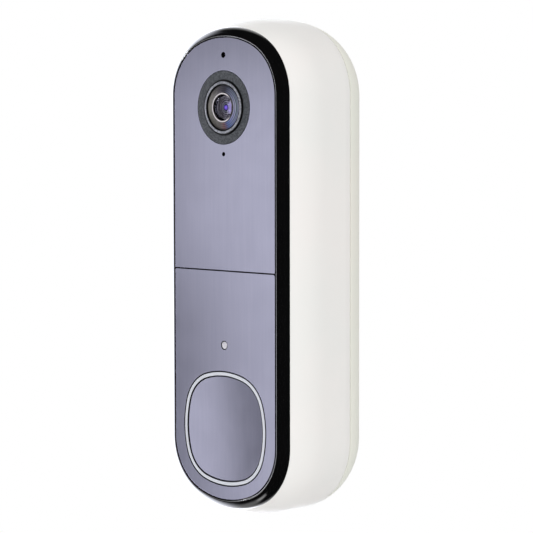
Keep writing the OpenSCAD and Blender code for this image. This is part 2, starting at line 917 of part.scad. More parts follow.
// LED places under the ring: the sides, and with two per quarter the corners too
module at_leds() {
    reach = ring_half - ring_w / 2;
    diagonal = corner_q + (ring_corner_r - ring_w / 2) * cos(45);
    for (quarter = [0 : 3]) rotate([0, 0, 90 * quarter]) {
        translate([reach, 0, 0]) children();
        if (leds_per_quarter > 1) translate([diagonal, diagonal, 0]) rotate([0, 0, 45]) children();
    }
}

module button_board() {
    color(pcb) on_face() translate([0, button_y, 0]) difference() {
        slab(carrier_back - board_t, carrier_back) soft_square(carrier_out - 0.2);
        at_button_screws() rod(small_screw_r + fit, carrier_back - board_t - 1, carrier_back + 1);
    }
}

module ring_leds() {
    color(glow) on_face() translate([0, button_y, 0]) at_leds()
        slab(carrier_back, carrier_back + led_t) square(led_size, center = true);
}

module button_switch() {
    color(plastic) on_face() translate([0, button_y, 0]) difference() {
        slab(carrier_back, switch_top) square(2 * switch_half, center = true);
        rod(stem_r + stem_fit, stem_top - stem_l - button_travel - fit, switch_top + eps);
    }
}

// ---- Camera -----------------------------------------------------------------------------

module at_camera() {
    on_face() translate([0, camera_y, 0]) children();
}

module lens_surround() {
    color(dark_grey) at_camera() difference() {
        union() {
            rod(surround_r, -surround_t, 0.05);
            rod(outer_ring_r + 1, infrared_top, 0);
        }
        rod(outer_ring_r + fit, infrared_top - eps, 1);
    }
}

module lens_outer_ring() {
    lip = ring_lip_r;
    color(black) at_camera() rotate_extrude() {
        // standing ring with a rounded outer edge
        translate([trim_r, -ring_deep])
            square([outer_ring_r - trim_r, ring_deep + ring_proud - lip]);
        translate([outer_ring_r - lip, ring_proud - lip]) circle(lip);
        translate([trim_r, ring_proud - lip]) square([outer_ring_r - trim_r - lip, lip]);
        // foot under the trim ring and the cone
        translate([cone_r - cone_skirt, -ring_deep])
            square([outer_ring_r - cone_r + cone_skirt, ring_foot_t]);
    }
}

module lens_trim_ring() {
    color(steel) at_camera()
        tube(trim_r - lens_gap, cone_r + groove_w, -ring_deep + ring_foot_t + fit, ring_proud);
}

// Shallow cone on a skirt that stands on the outer ring's foot
module lens_cone() {
    foot = -ring_deep + ring_foot_t;
    color([0.36, 0.34, 0.36]) at_camera() rotate_extrude()
        polygon([[cone_r, cone_low], [cone_r, foot], [cone_r - cone_skirt, foot],
            [cone_r - cone_skirt, cone_low - cone_t], [clamp_r + lens_gap, cone_top - cone_t],
            [clamp_r + lens_gap, cone_top]]);
}

module lens_clamp_ring() {
    color(steel) at_camera() tube(clamp_r, lens_r + lens_gap, lens_back, cone_top + lens_gap);
}

// Glass with a domed front: a rod whose end is cut by a large ball
module lens_body(r, dome, back, front) {
    ball = (r ^ 2 + dome ^ 2) / (2 * dome);
    intersection() {
        rod(r, back, front + 2 * dome);
        translate([0, 0, front + dome - ball]) sphere(r = ball, $fn = 160);
    }
}

module front_lens() {
    color(glass) at_camera() lens_body(lens_r, lens_dome, lens_back, lens_edge);
}

// Tube with a wide mouth under the front lens, a shelf that holds the inner lens and a bore
module lens_barrel() {
    color(black) at_camera() difference() {
        rod(barrel_r, barrel_back, lens_back);
        rod(mouth_r, shelf_top, lens_back + eps);
        rod(inner_lens_r + lens_gap, inner_back, lens_back + eps);
        rod(inner_lens_r - shelf_w, barrel_back - eps, lens_back);
    }
}

module inner_lens() {
    color(glass) at_camera() lens_body(inner_lens_r, inner_dome, inner_back, inner_edge);
}

module lens_holder() {
    color(plastic) at_camera() difference() {
        slab(holder_back, barrel_back) square(2 * holder_half, center = true);
        rod(holder_bore, holder_back - eps, barrel_back + eps);
    }
}

module image_sensor() {
    color(glass) at_camera() slab(camera_board_top, holder_back) square(2 * holder_half - 2, center = true);
}

module camera_board() {
    color(pcb) at_camera() slab(camera_board_top - board_t, camera_board_top) difference() {
        square([camera_board_w, camera_board_h], center = true);
        for (y = [-1, 1]) translate([0, y * camera_screw_y]) circle(small_screw_r + fit);
    }
}

module infrared_board() {
    color(pcb) at_camera() tube(surround_r, barrel_r + 0.6, infrared_top - infrared_t, infrared_top);
}

module infrared_leds() {
    color(glow) at_camera() for (i = [0 : 3]) rotate([0, 0, 45 + 90 * i])
        translate([infrared_leds_r + 0.55, 0, 0]) rod(0.55, infrared_top, infrared_top + 1.1);
}

module mic_boot(y, bore) {
    translate([0, y, 0]) tube(boot_r, bore, frame_back, -panel_t);
}

module mic_boots() {
    color(rubber) on_face() {
        mic_boot(mic_y, mic_r);
        mic_boot(mic2_y, mic2_r);
    }
}

module microphones() {
    color(steel) on_face() for (y = [mic_y, mic2_y]) translate([0, y, 0])
        slab(frame_back - mic_t, frame_back) square(mic_size, center = true);
}

// ---- Frame and boards -------------------------------------------------------------------

module inner_frame() {
    color(plastic) on_face() difference() {
        union() {
            slab(frame_back, frame_top) face_outline(-fit);
            at_posts() rod(post_r, main_top, frame_back + eps);
            at_camera_screws() rod(post_r, camera_board_top, frame_back + eps);
        }
        translate([0, camera_y, 0]) rod(surround_r + fit, infrared_top - infrared_t, 1);
        translate([0, camera_y, 0]) rod(barrel_r + 0.6, frame_back - eps, 1);
        for (y = [mic_y, mic2_y]) translate([0, y, 0]) rod(boot_r + fit, frame_back - eps, 1);
        translate([0, status_y, 0]) rod(status_r + fit, frame_back - eps, 1);
        translate([0, button_y, 0]) slab(frame_back - 1, 1) soft_square(carrier_out + fit);
        at_posts() rod(small_screw_r + fit, main_top - eps, main_top + small_bite + 0.5);
        at_camera_screws()
            rod(small_screw_r + fit, camera_board_top - eps, camera_board_top + small_bite + 0.5);
        at_frame_screws() rod(small_screw_r + fit, frame_back - 1, 1);
    }
}

module main_board() {
    color(pcb) on_face() difference() {
        slab(main_back, main_top) translate([-main_w / 2, main_low])
            square([main_w, main_high - main_low]);
        at_posts() rod(small_screw_r + fit, main_back - 1, main_top + 1);
    }
}

module shield_can() {
    color(steel) on_face() translate([0, (status_y + main_high) / 2, 0])
        slab(main_top, main_top + can_t)
            round_rect(main_w - 2 * can_margin, (main_high - status_y) / 2, 0.8);
}

// Flat cable folded as one strip, drawn as (height along the body, depth) points
module flex(path, w) {
    rotate([90, 0, 90]) translate([0, 0, -w / 2]) linear_extrude(w) polygon(path);
}

module camera_flex() {
    top = camera_board_top - board_t;
    y0 = camera_y - camera_board_h / 2 + camera_flex_up;
    y1 = y0 - camera_flex_lap;
    y2 = main_high - camera_flex_lap - flex_pad;
    color(brass) on_face() translate([camera_flex_x, 0, 0])
        flex([[y0 + flex_pad, top], [y0 + flex_pad, top - flex_t], [y0, top - flex_t],
            [y1, main_back - flex_t], [y2, main_back - flex_t], [y2, main_back],
            [y1 - flex_t, main_back], [y0 - flex_t, top]], camera_flex_w);
}

module button_flex() {
    top = carrier_back - board_t;
    y0 = button_y + ring_half - button_flex_in;
    y1 = main_low - flex_bend;
    y2 = main_low + button_flex_lap;
    drop = main_back - flex_t - flex_rise;
    color(brass) on_face() flex([[y0 - flex_pad, top], [y0 - flex_pad, top - flex_t],
        [y0, top - flex_t], [y1 - flex_t, drop], [y2, drop], [y2, main_back], [y1, main_back],
        [y1, main_back + flex_rise], [y0 + flex_t, top]], button_flex_w);
}

module wifi_antenna() {
    color(brass) on_face() translate([0, main_high - antenna_h, 0])
        slab(main_top, main_top + antenna_t)
            square([main_w - 2 * antenna_margin, antenna_h], center = true);
}

// ---- Speaker ----------------------------------------------------------------------------

module speaker() {
    color(plastic) on_face() difference() {
        slab(speaker_front - speaker_d, speaker_front) translate([-speaker_w / 2, speaker_low])
            square([speaker_w, speaker_h]);
        // open cone that faces the slots
        translate([0, speaker_low - eps, speaker_front - speaker_d / 2]) rotate([-90, 0, 0])
            cylinder(r1 = speaker_d / 2 - speaker_rim, r2 = voice_r, h = speaker_cone_d);
    }
}

module speaker_mesh() {
    color(rubber) on_face() translate([0, speaker_low - mesh_t, speaker_front - speaker_d / 2])
        rotate([-90, 0, 0]) linear_extrude(mesh_t)
            round_rect(speaker_w - 2 * mesh_margin, speaker_d - 2 * mesh_margin, 1.5);
}

// ---- Battery and rear -------------------------------------------------------------------

module battery_pack() {
    color([0.2, 0.35, 0.6]) on_face() slab(battery_back, battery_front)
        translate([0, battery_low + battery_h / 2]) round_rect(battery_w, battery_h, 2);
}

module battery_foam() {
    color(rubber) on_face() slab(back_inner, battery_back) for (y = [0.2, 0.8])
        translate([0, battery_low + battery_h * y])
            square([battery_w - 2 * foam_margin, foam_h], center = true);
}

module battery_tray() {
    low = battery_low - fit - tray_t;
    len = battery_h + 2 * (fit + tray_t);
    color(plastic) on_face() difference() {
        slab(back_inner, tray_front) translate([0, low + len / 2])
            round_rect(2 * tray_half, len, 3);
        slab(back_inner - eps, battery_front + fit) translate([0, low + len / 2])
            round_rect(battery_w + 2 * fit, battery_h + 2 * fit, 2);
        // two lightening windows, one over the other
        for (y = [0.25, 0.75]) slab(battery_front, tray_front + eps)
            translate([0, battery_low + battery_h * y])
                round_rect(battery_w - 2 * window_rim, battery_h / 2 - 2 * window_rim, 3);
    }
}

module rear_board() {
    color(pcb) on_face() difference() {
        slab(rear_board_back, rear_board_top) translate([-wire_w / 2 - 1, terminal_y - 6])
            square([wire_w + 2, sync_y + 3 - terminal_y + 6]);
        for (x = [-1, 1]) translate([x * terminal_pitch / 2, terminal_y, 0])
            rod(case_screw_r + fit, rear_board_back - 1, rear_board_top + 1);
    }
}

module terminal_posts() {
    color(brass) on_face() for (x = [-1, 1]) translate([x * terminal_pitch / 2, terminal_y, 0])
        tube(terminal_post_r, case_screw_r + fit, pocket_floor, rear_board_back);
}

module terminal_washers() {
    color(brass) on_face() for (x = [-1, 1]) translate([x * terminal_pitch / 2, terminal_y, 0])
        tube(terminal_head_r, case_screw_r + fit, pocket_floor - 0.4, pocket_floor);
}

// Screw with a round head; the head's outer face is at height h, it points up
module screw(r, head_r, head_t, l, h) {
    difference() {
        union() {
            rod(head_r, h, h + head_t);
            rod(r, h + head_t - eps, h + head_t + l);
        }
        slab(h - eps, h + head_t * 0.5) square([head_r * 1.3, 0.5], center = true);
        slab(h - eps, h + head_t * 0.5) square([0.5, head_r * 1.3], center = true);
    }
}

module terminal_screws() {
    color(steel) on_face() for (x = [-1, 1]) translate([x * terminal_pitch / 2, terminal_y, 0])
        screw(case_screw_r, terminal_head_r, 1.6, post_l + board_t, pocket_floor - 2);
}

module sync_button() {
    flange = sync_collar + fit;
    color(dark_grey) on_face() translate([0, sync_y, 0]) {
        rod(sync_r, sync_out, flange + eps);
        rod(sync_r + run + 0.7, flange, flange + sync_flange_t);
    }
}

module sync_switch() {
    color(plastic) on_face() translate([0, sync_y, 0])
        slab(sync_collar + fit + sync_flange_t + sync_travel + fit, rear_board_back)
            square(2 * sync_switch_half, center = true);
}

module case_screws() {
    color(steel) on_face() at_case_screws()
        screw(case_screw_r, case_head_r, case_head_t,
            -parting_d + case_bite - recess_floor - case_head_t, recess_floor);
}

module frame_screws() {
    color(steel) on_face() at_frame_screws() mirror([0, 0, 1])
        small_screw(frame_t, frame_bite, -frame_top);
}

// Small screw that comes from behind and bites into what lies l further forward
module small_screw(through, l, h) {
    screw(small_screw_r, small_head_r, small_head_t, through + l, h - small_head_t);
}

module board_screws() {
    color(steel) on_face() {
        at_posts() small_screw(board_t, small_bite, main_back);
        at_camera_screws() small_screw(board_t, small_bite, camera_board_top - board_t);
        translate([0, button_y, 0]) at_button_screws()
            small_screw(board_t, carrier_floor_t, carrier_back - board_t);
        at_cover_screws() mirror([0, 0, 1]) small_screw(cover_t, 2.5, -cover_back - cover_t);
    }
}

// ---- Latch and wall plate ---------------------------------------------------------------

module release_latch() {
    color(dark_grey) on_face() {
        translate([-latch_w / 2, latch_low, latch_back]) cube([latch_w, latch_h, latch_t]);
        // neck through the back wall and hook behind the plate's lip
        translate([-hook_w / 2, lip_y + run, hook_front - hook_t])
            cube([hook_w, tongue_top - lip_y - run, latch_back + 0.5 - hook_front + hook_t]);
        translate([-hook_w / 2, hook_low, hook_front - hook_t])
            cube([hook_w, tongue_top - hook_low, hook_t]);
        // pin that centres the spring
        translate([0, latch_low + latch_h - eps, latch_back + latch_t / 2]) rotate([-90, 0, 0])
            cylinder(r = spring_r - spring_wire - 0.15, h = 1.5);
    }
}

module latch_cover() {
    half = latch_w / 2 + run + pocket_wall;
    color(plastic) on_face() difference() {
        slab(cover_back, cover_back + cover_t) intersection() {
            translate([-half, cover_screw_y - 2]) square([2 * half, pocket_high + pocket_wall
                - cover_screw_y + 2]);
            face_outline(-0.3);
        }
        at_cover_screws() rod(small_screw_r + fit, cover_back - 1, cover_back + cover_t + 1);
    }
}

// Coil spring along Y, from the latch up to the pocket's roof
module latch_spring() {
    base = latch_low + latch_h;
    l = pocket_high - base - spring_wire;
    sides = 8;
    steps = 14;
    n = spring_turns * steps;
    mean = spring_r - spring_wire / 2;
    ring = [for (i = [0 : n], j = [0 : sides - 1])
        let (a = 360 * i / steps, b = 360 * j / sides, r = mean + spring_wire / 2 * cos(b))
        [r * cos(a), spring_wire / 2 + l * i / n + spring_wire / 2 * sin(b), r * sin(a)]];
    walls = [for (i = [0 : n - 1], j = [0 : sides - 1])
        let (k = (j + 1) % sides)
        [i * sides + j, (i + 1) * sides + j, (i + 1) * sides + k, i * sides + k]];
    caps = [[for (j = [0 : sides - 1]) j], [for (j = [sides - 1 : -1 : 0]) n * sides + j]];
    color(steel) on_face() translate([0, base, latch_back + latch_t / 2])
        polyhedron(ring, concat(walls, caps), convexity = 6);
}

module wall_plate() {
    color(white * 0.9) on_face() difference() {
        union() {
            slab(-body_d, plate_front) face_outline(plate_out);
            // tongues that hang in the rear housing's slots
            for (x = [-1, 1]) translate([x * tongue_x - tongue_w / 2, half_h + plate_out - 3,
                    plate_front - tongue_t])
                cube([tongue_w, 3 + tongue_l, tongue_t]);
        }
        // wall screws
        for (y = wall_screw_y) translate([0, y, 0]) {
            rod(wall_hole_r, -body_d - eps, plate_front + eps);
            translate([0, 0, plate_front - wall_head_t])
                cylinder(r1 = wall_hole_r, r2 = wall_head_r, h = wall_head_t + eps);
        }
        // opening for the bell wires
        slab(-body_d - 1, plate_front + 1) translate([0, terminal_y])
            round_rect(wire_w, wire_h, 2);
        // slot and pocket for the hook
        translate([-hook_w / 2 - run, lip_y, plate_front - lip_t - 1])
            cube([hook_w + 2 * run, tongue_top + latch_travel + run - lip_y, lip_t + 2]);
        translate([-hook_w / 2 - run, hook_low - run, -body_d - eps])
            cube([hook_w + 2 * run, tongue_top + latch_travel + 2 * run - hook_low,
                plate_t - lip_t + eps]);
    }
}

front_housing();
rear_housing();
housing_seal();
bezel();
panel_tape();
upper_face_panel();
lower_face_panel();
button_cap();
switch_stem();
button_light_ring();
button_gasket();
button_carrier();
button_board();
ring_leds();
button_switch();
lens_surround();
lens_outer_ring();
lens_trim_ring();
lens_cone();
lens_clamp_ring();
front_lens();
inner_lens();
lens_barrel();
lens_holder();
image_sensor();
camera_board();
infrared_board();
infrared_leds();
mic_boots();
microphones();
status_window();
status_sensor();
inner_frame();
main_board();
shield_can();
camera_flex();
button_flex();
wifi_antenna();
speaker();
speaker_mesh();
battery_pack();
battery_foam();
battery_tray();
rear_board();
sync_button();
sync_switch();
terminal_posts();
terminal_screws();
terminal_washers();
case_screws();
frame_screws();
board_screws();
release_latch();
latch_spring();
latch_cover();
wall_plate();
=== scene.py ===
# %% [markdown]
# # Finishing a video doorbell
# The construction of this doorbell comes from a CAD program: every shell, board and screw is
# already there at its real size and place. What it lacks is a finish. This lesson loads the
# pieces, sets up a small studio, gives each piece the surface that its maker gave it,
# and adds the few fine details that are too small for the CAD model.

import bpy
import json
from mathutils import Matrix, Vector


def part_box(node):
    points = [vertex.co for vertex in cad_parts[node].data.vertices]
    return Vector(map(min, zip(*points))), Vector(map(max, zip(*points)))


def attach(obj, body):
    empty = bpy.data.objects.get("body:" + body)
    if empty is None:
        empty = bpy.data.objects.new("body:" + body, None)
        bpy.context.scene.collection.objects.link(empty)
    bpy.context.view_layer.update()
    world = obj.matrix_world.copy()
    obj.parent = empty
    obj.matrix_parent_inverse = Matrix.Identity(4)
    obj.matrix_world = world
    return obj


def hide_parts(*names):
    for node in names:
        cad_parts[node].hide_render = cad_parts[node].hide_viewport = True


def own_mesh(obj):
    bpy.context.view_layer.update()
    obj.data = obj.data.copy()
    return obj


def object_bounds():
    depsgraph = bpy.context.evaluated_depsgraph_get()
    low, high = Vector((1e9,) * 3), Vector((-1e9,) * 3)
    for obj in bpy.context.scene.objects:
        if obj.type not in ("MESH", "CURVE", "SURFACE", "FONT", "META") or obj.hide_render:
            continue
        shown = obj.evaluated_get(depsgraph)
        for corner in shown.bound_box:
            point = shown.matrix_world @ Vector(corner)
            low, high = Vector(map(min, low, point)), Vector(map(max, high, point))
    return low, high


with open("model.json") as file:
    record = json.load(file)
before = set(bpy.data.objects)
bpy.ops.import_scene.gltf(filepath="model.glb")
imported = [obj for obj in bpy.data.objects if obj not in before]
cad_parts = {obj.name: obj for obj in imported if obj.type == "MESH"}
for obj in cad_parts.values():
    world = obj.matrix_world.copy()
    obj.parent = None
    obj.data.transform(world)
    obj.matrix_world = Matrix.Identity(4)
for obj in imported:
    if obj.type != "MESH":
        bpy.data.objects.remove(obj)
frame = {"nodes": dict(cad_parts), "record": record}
cad_low, cad_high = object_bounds()
nodes = frame["nodes"]
print("pieces:", len(nodes))
print("overall size in mm:", [round(v * 1000, 1) for v in cad_high - cad_low])

# %% [markdown]
# ## Units and colours
# A maker thinks in millimetres and in the 0 to 255 values of a paint chart. Blender wants
# metres and linear light, in which a value twice as large really is twice as bright. Two small
# helpers do the conversion, so that all the numbers below stay readable.

# %% Units and colours
import json
import math

import bmesh
import bpy
from mathutils import Matrix, Vector

MM = 0.001


def paint(red, green, blue):
    """A colour of a paint chart, 0 to 255, as linear light with full opacity."""
    def linear(value):
        value /= 255
        return value / 12.92 if value <= 0.04045 else ((value + 0.055) / 1.055) ** 2.4
    return (linear(red), linear(green), linear(blue), 1.0)


def middle(name):
    """The centre of a CAD piece's box."""
    low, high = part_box(name)
    return (low + high) / 2


face_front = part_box("upper_face_panel")[0].y
lens_axis = middle("front_lens")
print("warm white as linear light:", [round(v, 3) for v in paint(240, 238, 232)])
print("lens axis in mm:", [round(v * 1000, 1) for v in lens_axis])

# %% [markdown]
# ## The camera
# The doorbell is seen from its right front, a little above its middle, through a long lens.
# A long lens keeps the two long edges nearly parallel, as on a catalogue picture. The camera
# aims at the middle of the face. A small lens shift then slides the picture so that the body
# has the same room left and right, without turning the camera.

# %% Camera
CAMERA_TURN = math.radians(45.2)
CAMERA_LIFT = math.radians(4.16)
CAMERA_ROLL = math.radians(-0.19)
CAMERA_DISTANCE = 584.8 * MM
LENS_LENGTH = 151.36
FILM_WIDTH = 36
SHIFT_SIDE = 0.0797
SHIFT_UP = 0.0066

toward_camera = Vector((math.sin(CAMERA_TURN) * math.cos(CAMERA_LIFT),
                        -math.cos(CAMERA_TURN) * math.cos(CAMERA_LIFT),
                        math.sin(CAMERA_LIFT)))
camera_data = bpy.data.cameras.new("camera")
camera_data.lens = LENS_LENGTH
camera_data.sensor_width = FILM_WIDTH
camera_data.shift_x = SHIFT_SIDE
camera_data.shift_y = SHIFT_UP
camera_data.clip_start = 0.01
camera = bpy.data.objects.new("camera", camera_data)
bpy.context.scene.collection.objects.link(camera)
camera.location = Vector((0, face_front, 0)) + toward_camera * CAMERA_DISTANCE
camera.rotation_euler = (-toward_camera).to_track_quat("-Z", "Y").to_euler()
camera.rotation_euler.rotate_axis("Z", CAMERA_ROLL)
bpy.context.scene.camera = camera
print("camera at", [round(v, 3) for v in camera.location])

# %% [markdown]
# ## The studio
# Glossy plastic shows the room around it, so the room decides how it looks. A studio for
# products hangs a white cloth behind the object, keeps the side of the camera dark, and adds
# a few large soft lamps. The world shader does the first two: the camera sees plain white, a
# reflection sees white behind the doorbell and darkness behind the camera, and everything
# else gets an even fill light. How directly a reflection looks back at the camera is a number
# from 1, straight at it, to -1, straight away from it.

# %% World
FILL_LEVEL = 0.62
CLOTH_LEVEL = 1.0
DARK_LEVEL = 0.012
CLOTH_UP_TO = -0.75
DARK_FROM = -0.3

world = bpy.data.worlds.new("studio")
world.use_nodes = True
bpy.context.scene.world = world
tree = world.node_tree
background = tree.nodes["Background"]
direction = tree.nodes.new("ShaderNodeTexCoord")
facing = tree.nodes.new("ShaderNodeVectorMath")
facing.operation = "DOT_PRODUCT"
facing.inputs[1].default_value = toward_camera
room = tree.nodes.new("ShaderNodeMapRange")
room.interpolation_type = "SMOOTHSTEP"
room.inputs["From Min"].default_value = CLOTH_UP_TO
room.inputs["From Max"].default_value = DARK_FROM
room.inputs["To Min"].default_value = CLOTH_LEVEL
room.inputs["To Max"].default_value = DARK_LEVEL
ray = tree.nodes.new("ShaderNodeLightPath")
mirrored = tree.nodes.new("ShaderNodeMix")
mirrored.inputs["A"].default_value = FILL_LEVEL
seen = tree.nodes.new("ShaderNodeMix")
seen.inputs["B"].default_value = CLOTH_LEVEL
tree.links.new(direction.outputs["Generated"], facing.inputs[0])
tree.links.new(facing.outputs["Value"], room.inputs["Value"])
tree.links.new(room.outputs["Result"], mirrored.inputs["B"])
tree.links.new(ray.outputs["Is Glossy Ray"], mirrored.inputs["Factor"])
tree.links.new(mirrored.outputs["Result"], seen.inputs["A"])
tree.links.new(ray.outputs["Is Camera Ray"], seen.inputs["Factor"])
tree.links.new(seen.outputs["Result"], background.inputs["Strength"])
background.inputs["Color"].default_value = (1, 1, 1, 1)
bpy.context.scene.view_settings.view_transform = "Standard"
print("fill level:", FILL_LEVEL)

# %% [markdown]
# ## The lamps
# An area lamp is a glowing sheet: the larger it is, the softer its shadows and the broader
# the sheen that it leaves on a glossy face. A real softbox is brightest in the middle and
# fades towards its rim, and so do these: a small node tree on each lamp lowers its strength
# near the edges, over a share of the width called the feather. Without it every reflection
# would end in a hard line.
#
# The face panels mirror two soft lamps at the front left, one above the other. Their left
# edges lie in the middle of the mirrored view, so the panels are darker on their left, and
# the dish of the button, which turns its right half away, shows the strongest gradient. The
# rim lamp is as large as a wall. It stands on the left, a little behind the doorbell, and
# makes the left edge of the black bezel glow. The under lamp and the low lamp show in the
# bezel's lower end, and the small lamp leaves one highlight on the lens. These four light
# nothing but reflections. The side and top lamps do the opposite: they light the white shells
# and are hidden from reflections, so the bezel stays black.

# %% Soft edges for a lamp


def feathered(sheet, feather):
    """Lets a lamp fade towards its edges, over that share of its width and height."""
    sheet.use_nodes = True
    tree = sheet.node_tree
    spot = tree.nodes.new("ShaderNodeNewGeometry")
    sides = tree.nodes.new("ShaderNodeSeparateXYZ")
    tree.links.new(spot.outputs["Parametric"], sides.inputs["Vector"])
    strength = None
    for side, share in zip("XY", feather):
        for start, end in ((0, share), (1, 1 - share)):
            fade = tree.nodes.new("ShaderNodeMapRange")
            fade.interpolation_type = "SMOOTHSTEP"
            fade.inputs["From Min"].default_value = start
            fade.inputs["From Max"].default_value = end
            tree.links.new(sides.outputs[side], fade.inputs["Value"])
            if strength is None:
                strength = fade.outputs["Result"]
                continue
            both = tree.nodes.new("ShaderNodeMath")
            both.operation = "MULTIPLY"
            tree.links.new(strength, both.inputs[0])
            tree.links.new(fade.outputs["Result"], both.inputs[1])
            strength = both.outputs["Value"]
    tree.links.new(strength, tree.nodes["Emission"].inputs["Strength"])


print("lamps fade towards their edges")

# %% Lamps


def lamp(name, turn, lift, distance, width, height, level, feather=(0.3, 0.3)):
    """A glowing sheet that faces the doorbell, sizes in metres and angles in degrees.

    Turn 0 is straight in front of the face, and a lift above 0 is above the middle.
    """
    turn, lift = math.radians(turn), math.radians(lift)
    sheet = bpy.data.lights.new(name, "AREA")
    sheet.shape = "RECTANGLE"
    sheet.size, sheet.size_y = width, height
    sheet.energy = level * math.pi * width * height
    feathered(sheet, feather)
    holder = bpy.data.objects.new(name, sheet)
    bpy.context.scene.collection.objects.link(holder)
    out = Vector((math.sin(turn) * math.cos(lift), -math.cos(turn) * math.cos(lift),
                  math.sin(lift)))
    holder.location = out * distance
    holder.rotation_euler = out.to_track_quat("Z", "Y").to_euler()
    holder.visible_camera = False
    print(name, "gives", round(sheet.energy, 2), "W")
    return holder


lamp("upper lamp", -41.3, 0.4, 0.9, 0.24, 0.235, 1.52, (0.35, 0.38))
lamp("lower lamp", -39.6, -13.1, 0.9, 0.2, 0.38, 1.46, (0.3, 0.24))
side_lamp = lamp("side lamp", 42, 3, 0.9, 0.6, 0.9, 4.4)
top_lamp = lamp("top lamp", 20, 78, 0.8, 0.6, 0.6, 1.4)
rim_lamp = lamp("rim lamp", -100, -6.6, 0.9, 2.16, 2.4, 5.0, (0.33, 0.34))
rim_lamp.data.color = (0.88, 0.9, 1.0)
under_lamp = lamp("under lamp", -60, -62, 0.7, 0.6, 0.5, 0.55, (0.4, 0.4))
low_lamp = lamp("low lamp", -22, -60, 0.7, 0.24, 0.32, 1.1, (0.4, 0.35))
small_lamp = lamp("small lamp", -57, 12, 0.9, 0.06, 0.06, 28.0)
for plain_light in (side_lamp, top_lamp):
    plain_light.visible_glossy = False
for mirror_light in (rim_lamp, under_lamp, low_lamp, small_lamp):
    mirror_light.visible_diffuse = False

# %% [markdown]
# ## The floor
# A doorbell hangs on a wall, so nothing stands on this floor. It is a plain pale disc some way
# below, so that a view from above doesn't look into nothing. A square would do as well, but a
# disc looks the same from every side. It is matt and left out of reflections, so the bezel's
# underside stays dark.

# %% Floor
FLOOR_DROP = 61 * MM
FLOOR_RADIUS = 0.235

floor_disc = bmesh.new()
bmesh.ops.create_circle(floor_disc, cap_ends=True, segments=96, radius=FLOOR_RADIUS)
floor_mesh = bpy.data.meshes.new("floor")
floor_disc.to_mesh(floor_mesh)
floor_disc.free()
floor_mesh.transform(Matrix.Translation((0, 0, cad_low.z - FLOOR_DROP)))
floor = bpy.data.objects.new("floor", floor_mesh)
bpy.context.scene.collection.objects.link(floor)
floor.visible_glossy = False
floor_pale = bpy.data.materials.new("pale floor")
floor_pale.use_nodes = True
floor_pale.node_tree.nodes["Principled BSDF"].inputs["Base Color"].default_value = paint(246, 246, 246)
floor_pale.node_tree.nodes["Principled BSDF"].inputs["Roughness"].default_value = 0.9
floor_mesh.materials.append(floor_pale)
print("floor lies", round(FLOOR_DROP / MM), "mm under the doorbell")

# %% [markdown]
# ## Finishes
# Every finish starts from the Principled shader, which covers plastic, metal and glass. What
# is the same all over a surface is set on the shader itself. What varies over it comes from a
# pattern that reads the piece's own coordinates, so it stays with the piece when it moves. The
# helpers below make a finish, draw soft clouds or fine grain of a given size in millimetres,
# and lead such a pattern into the colour, the gloss or the relief.

# %% Tools for a finish


def finish(name, colour, roughness, **sockets):
    """A finish with its own Principled shader; extra sockets are named with underscores."""
    made = bpy.data.materials.new(name)
    made.use_nodes = True
    shader = made.node_tree.nodes["Principled BSDF"]
    shader.inputs["Base Color"].default_value = paint(*colour)
    shader.inputs["Roughness"].default_value = roughness
    for socket, value in sockets.items():
        shader.inputs[socket.replace("_", " ")].default_value = value
    made.diffuse_color = paint(*colour)
    return made


def shader_of(made):
    return made.node_tree.nodes["Principled BSDF"]


def own_place(made, stretch=(1, 1, 1), centre=(0, 0, 0)):
    """The piece's own coordinates, measured from a centre and stretched along the axes."""
    nodes_in, links = made.node_tree.nodes, made.node_tree.links
    place = nodes_in.new("ShaderNodeTexCoord")
    fit = nodes_in.new("ShaderNodeMapping")
    fit.inputs["Scale"].default_value = stretch
    fit.inputs["Location"].default_value = [-c * s for c, s in zip(centre, stretch)]
    links.new(place.outputs["Object"], fit.inputs["Vector"])
    return fit.outputs["Vector"]


def clouds(made, size, detail=2.0, stretch=(1, 1, 1)):
    """Soft random clouds, each about size millimetres wide, as a value around 0.5."""
    noise = made.node_tree.nodes.new("ShaderNodeTexNoise")
    noise.inputs["Scale"].default_value = 1 / (size * MM)
    noise.inputs["Detail"].default_value = detail
    made.node_tree.links.new(own_place(made, stretch), noise.inputs["Vector"])
    return noise.outputs["Fac"]


def ramp(made, value, stops):
    """Colours at given values, blended in between."""
    bar = made.node_tree.nodes.new("ShaderNodeValToRGB")
    points = bar.color_ramp.elements
    while len(points) < len(stops):
        points.new(0.5)
    for point, (position, colour) in zip(points, stops):
        point.position, point.color = position, paint(*colour)
    made.node_tree.links.new(value, bar.inputs["Fac"])
    return bar.outputs["Color"]


def colour_by(made, value, stops):
    made.node_tree.links.new(ramp(made, value, stops), shader_of(made).inputs["Base Color"])


def gloss_by(made, value, low, high):
    """Roughness that runs from low to high with a pattern that mostly stays in 0.3 to 0.7."""
    spread = made.node_tree.nodes.new("ShaderNodeMapRange")
    spread.inputs["From Min"].default_value = 0.3
    spread.inputs["From Max"].default_value = 0.7
    spread.inputs["To Min"].default_value = low
    spread.inputs["To Max"].default_value = high
    made.node_tree.links.new(value, spread.inputs["Value"])
    made.node_tree.links.new(spread.outputs["Result"], shader_of(made).inputs["Roughness"])


def relief_by(made, value, height):
    """Fine relief of that height in millimetres."""
    bump = made.node_tree.nodes.new("ShaderNodeBump")
    bump.inputs["Distance"].default_value = height * MM
    made.node_tree.links.new(value, bump.inputs["Height"])
    made.node_tree.links.new(bump.outputs["Normal"], shader_of(made).inputs["Normal"])


print("tools for a finish: clouds, colour, gloss and relief")

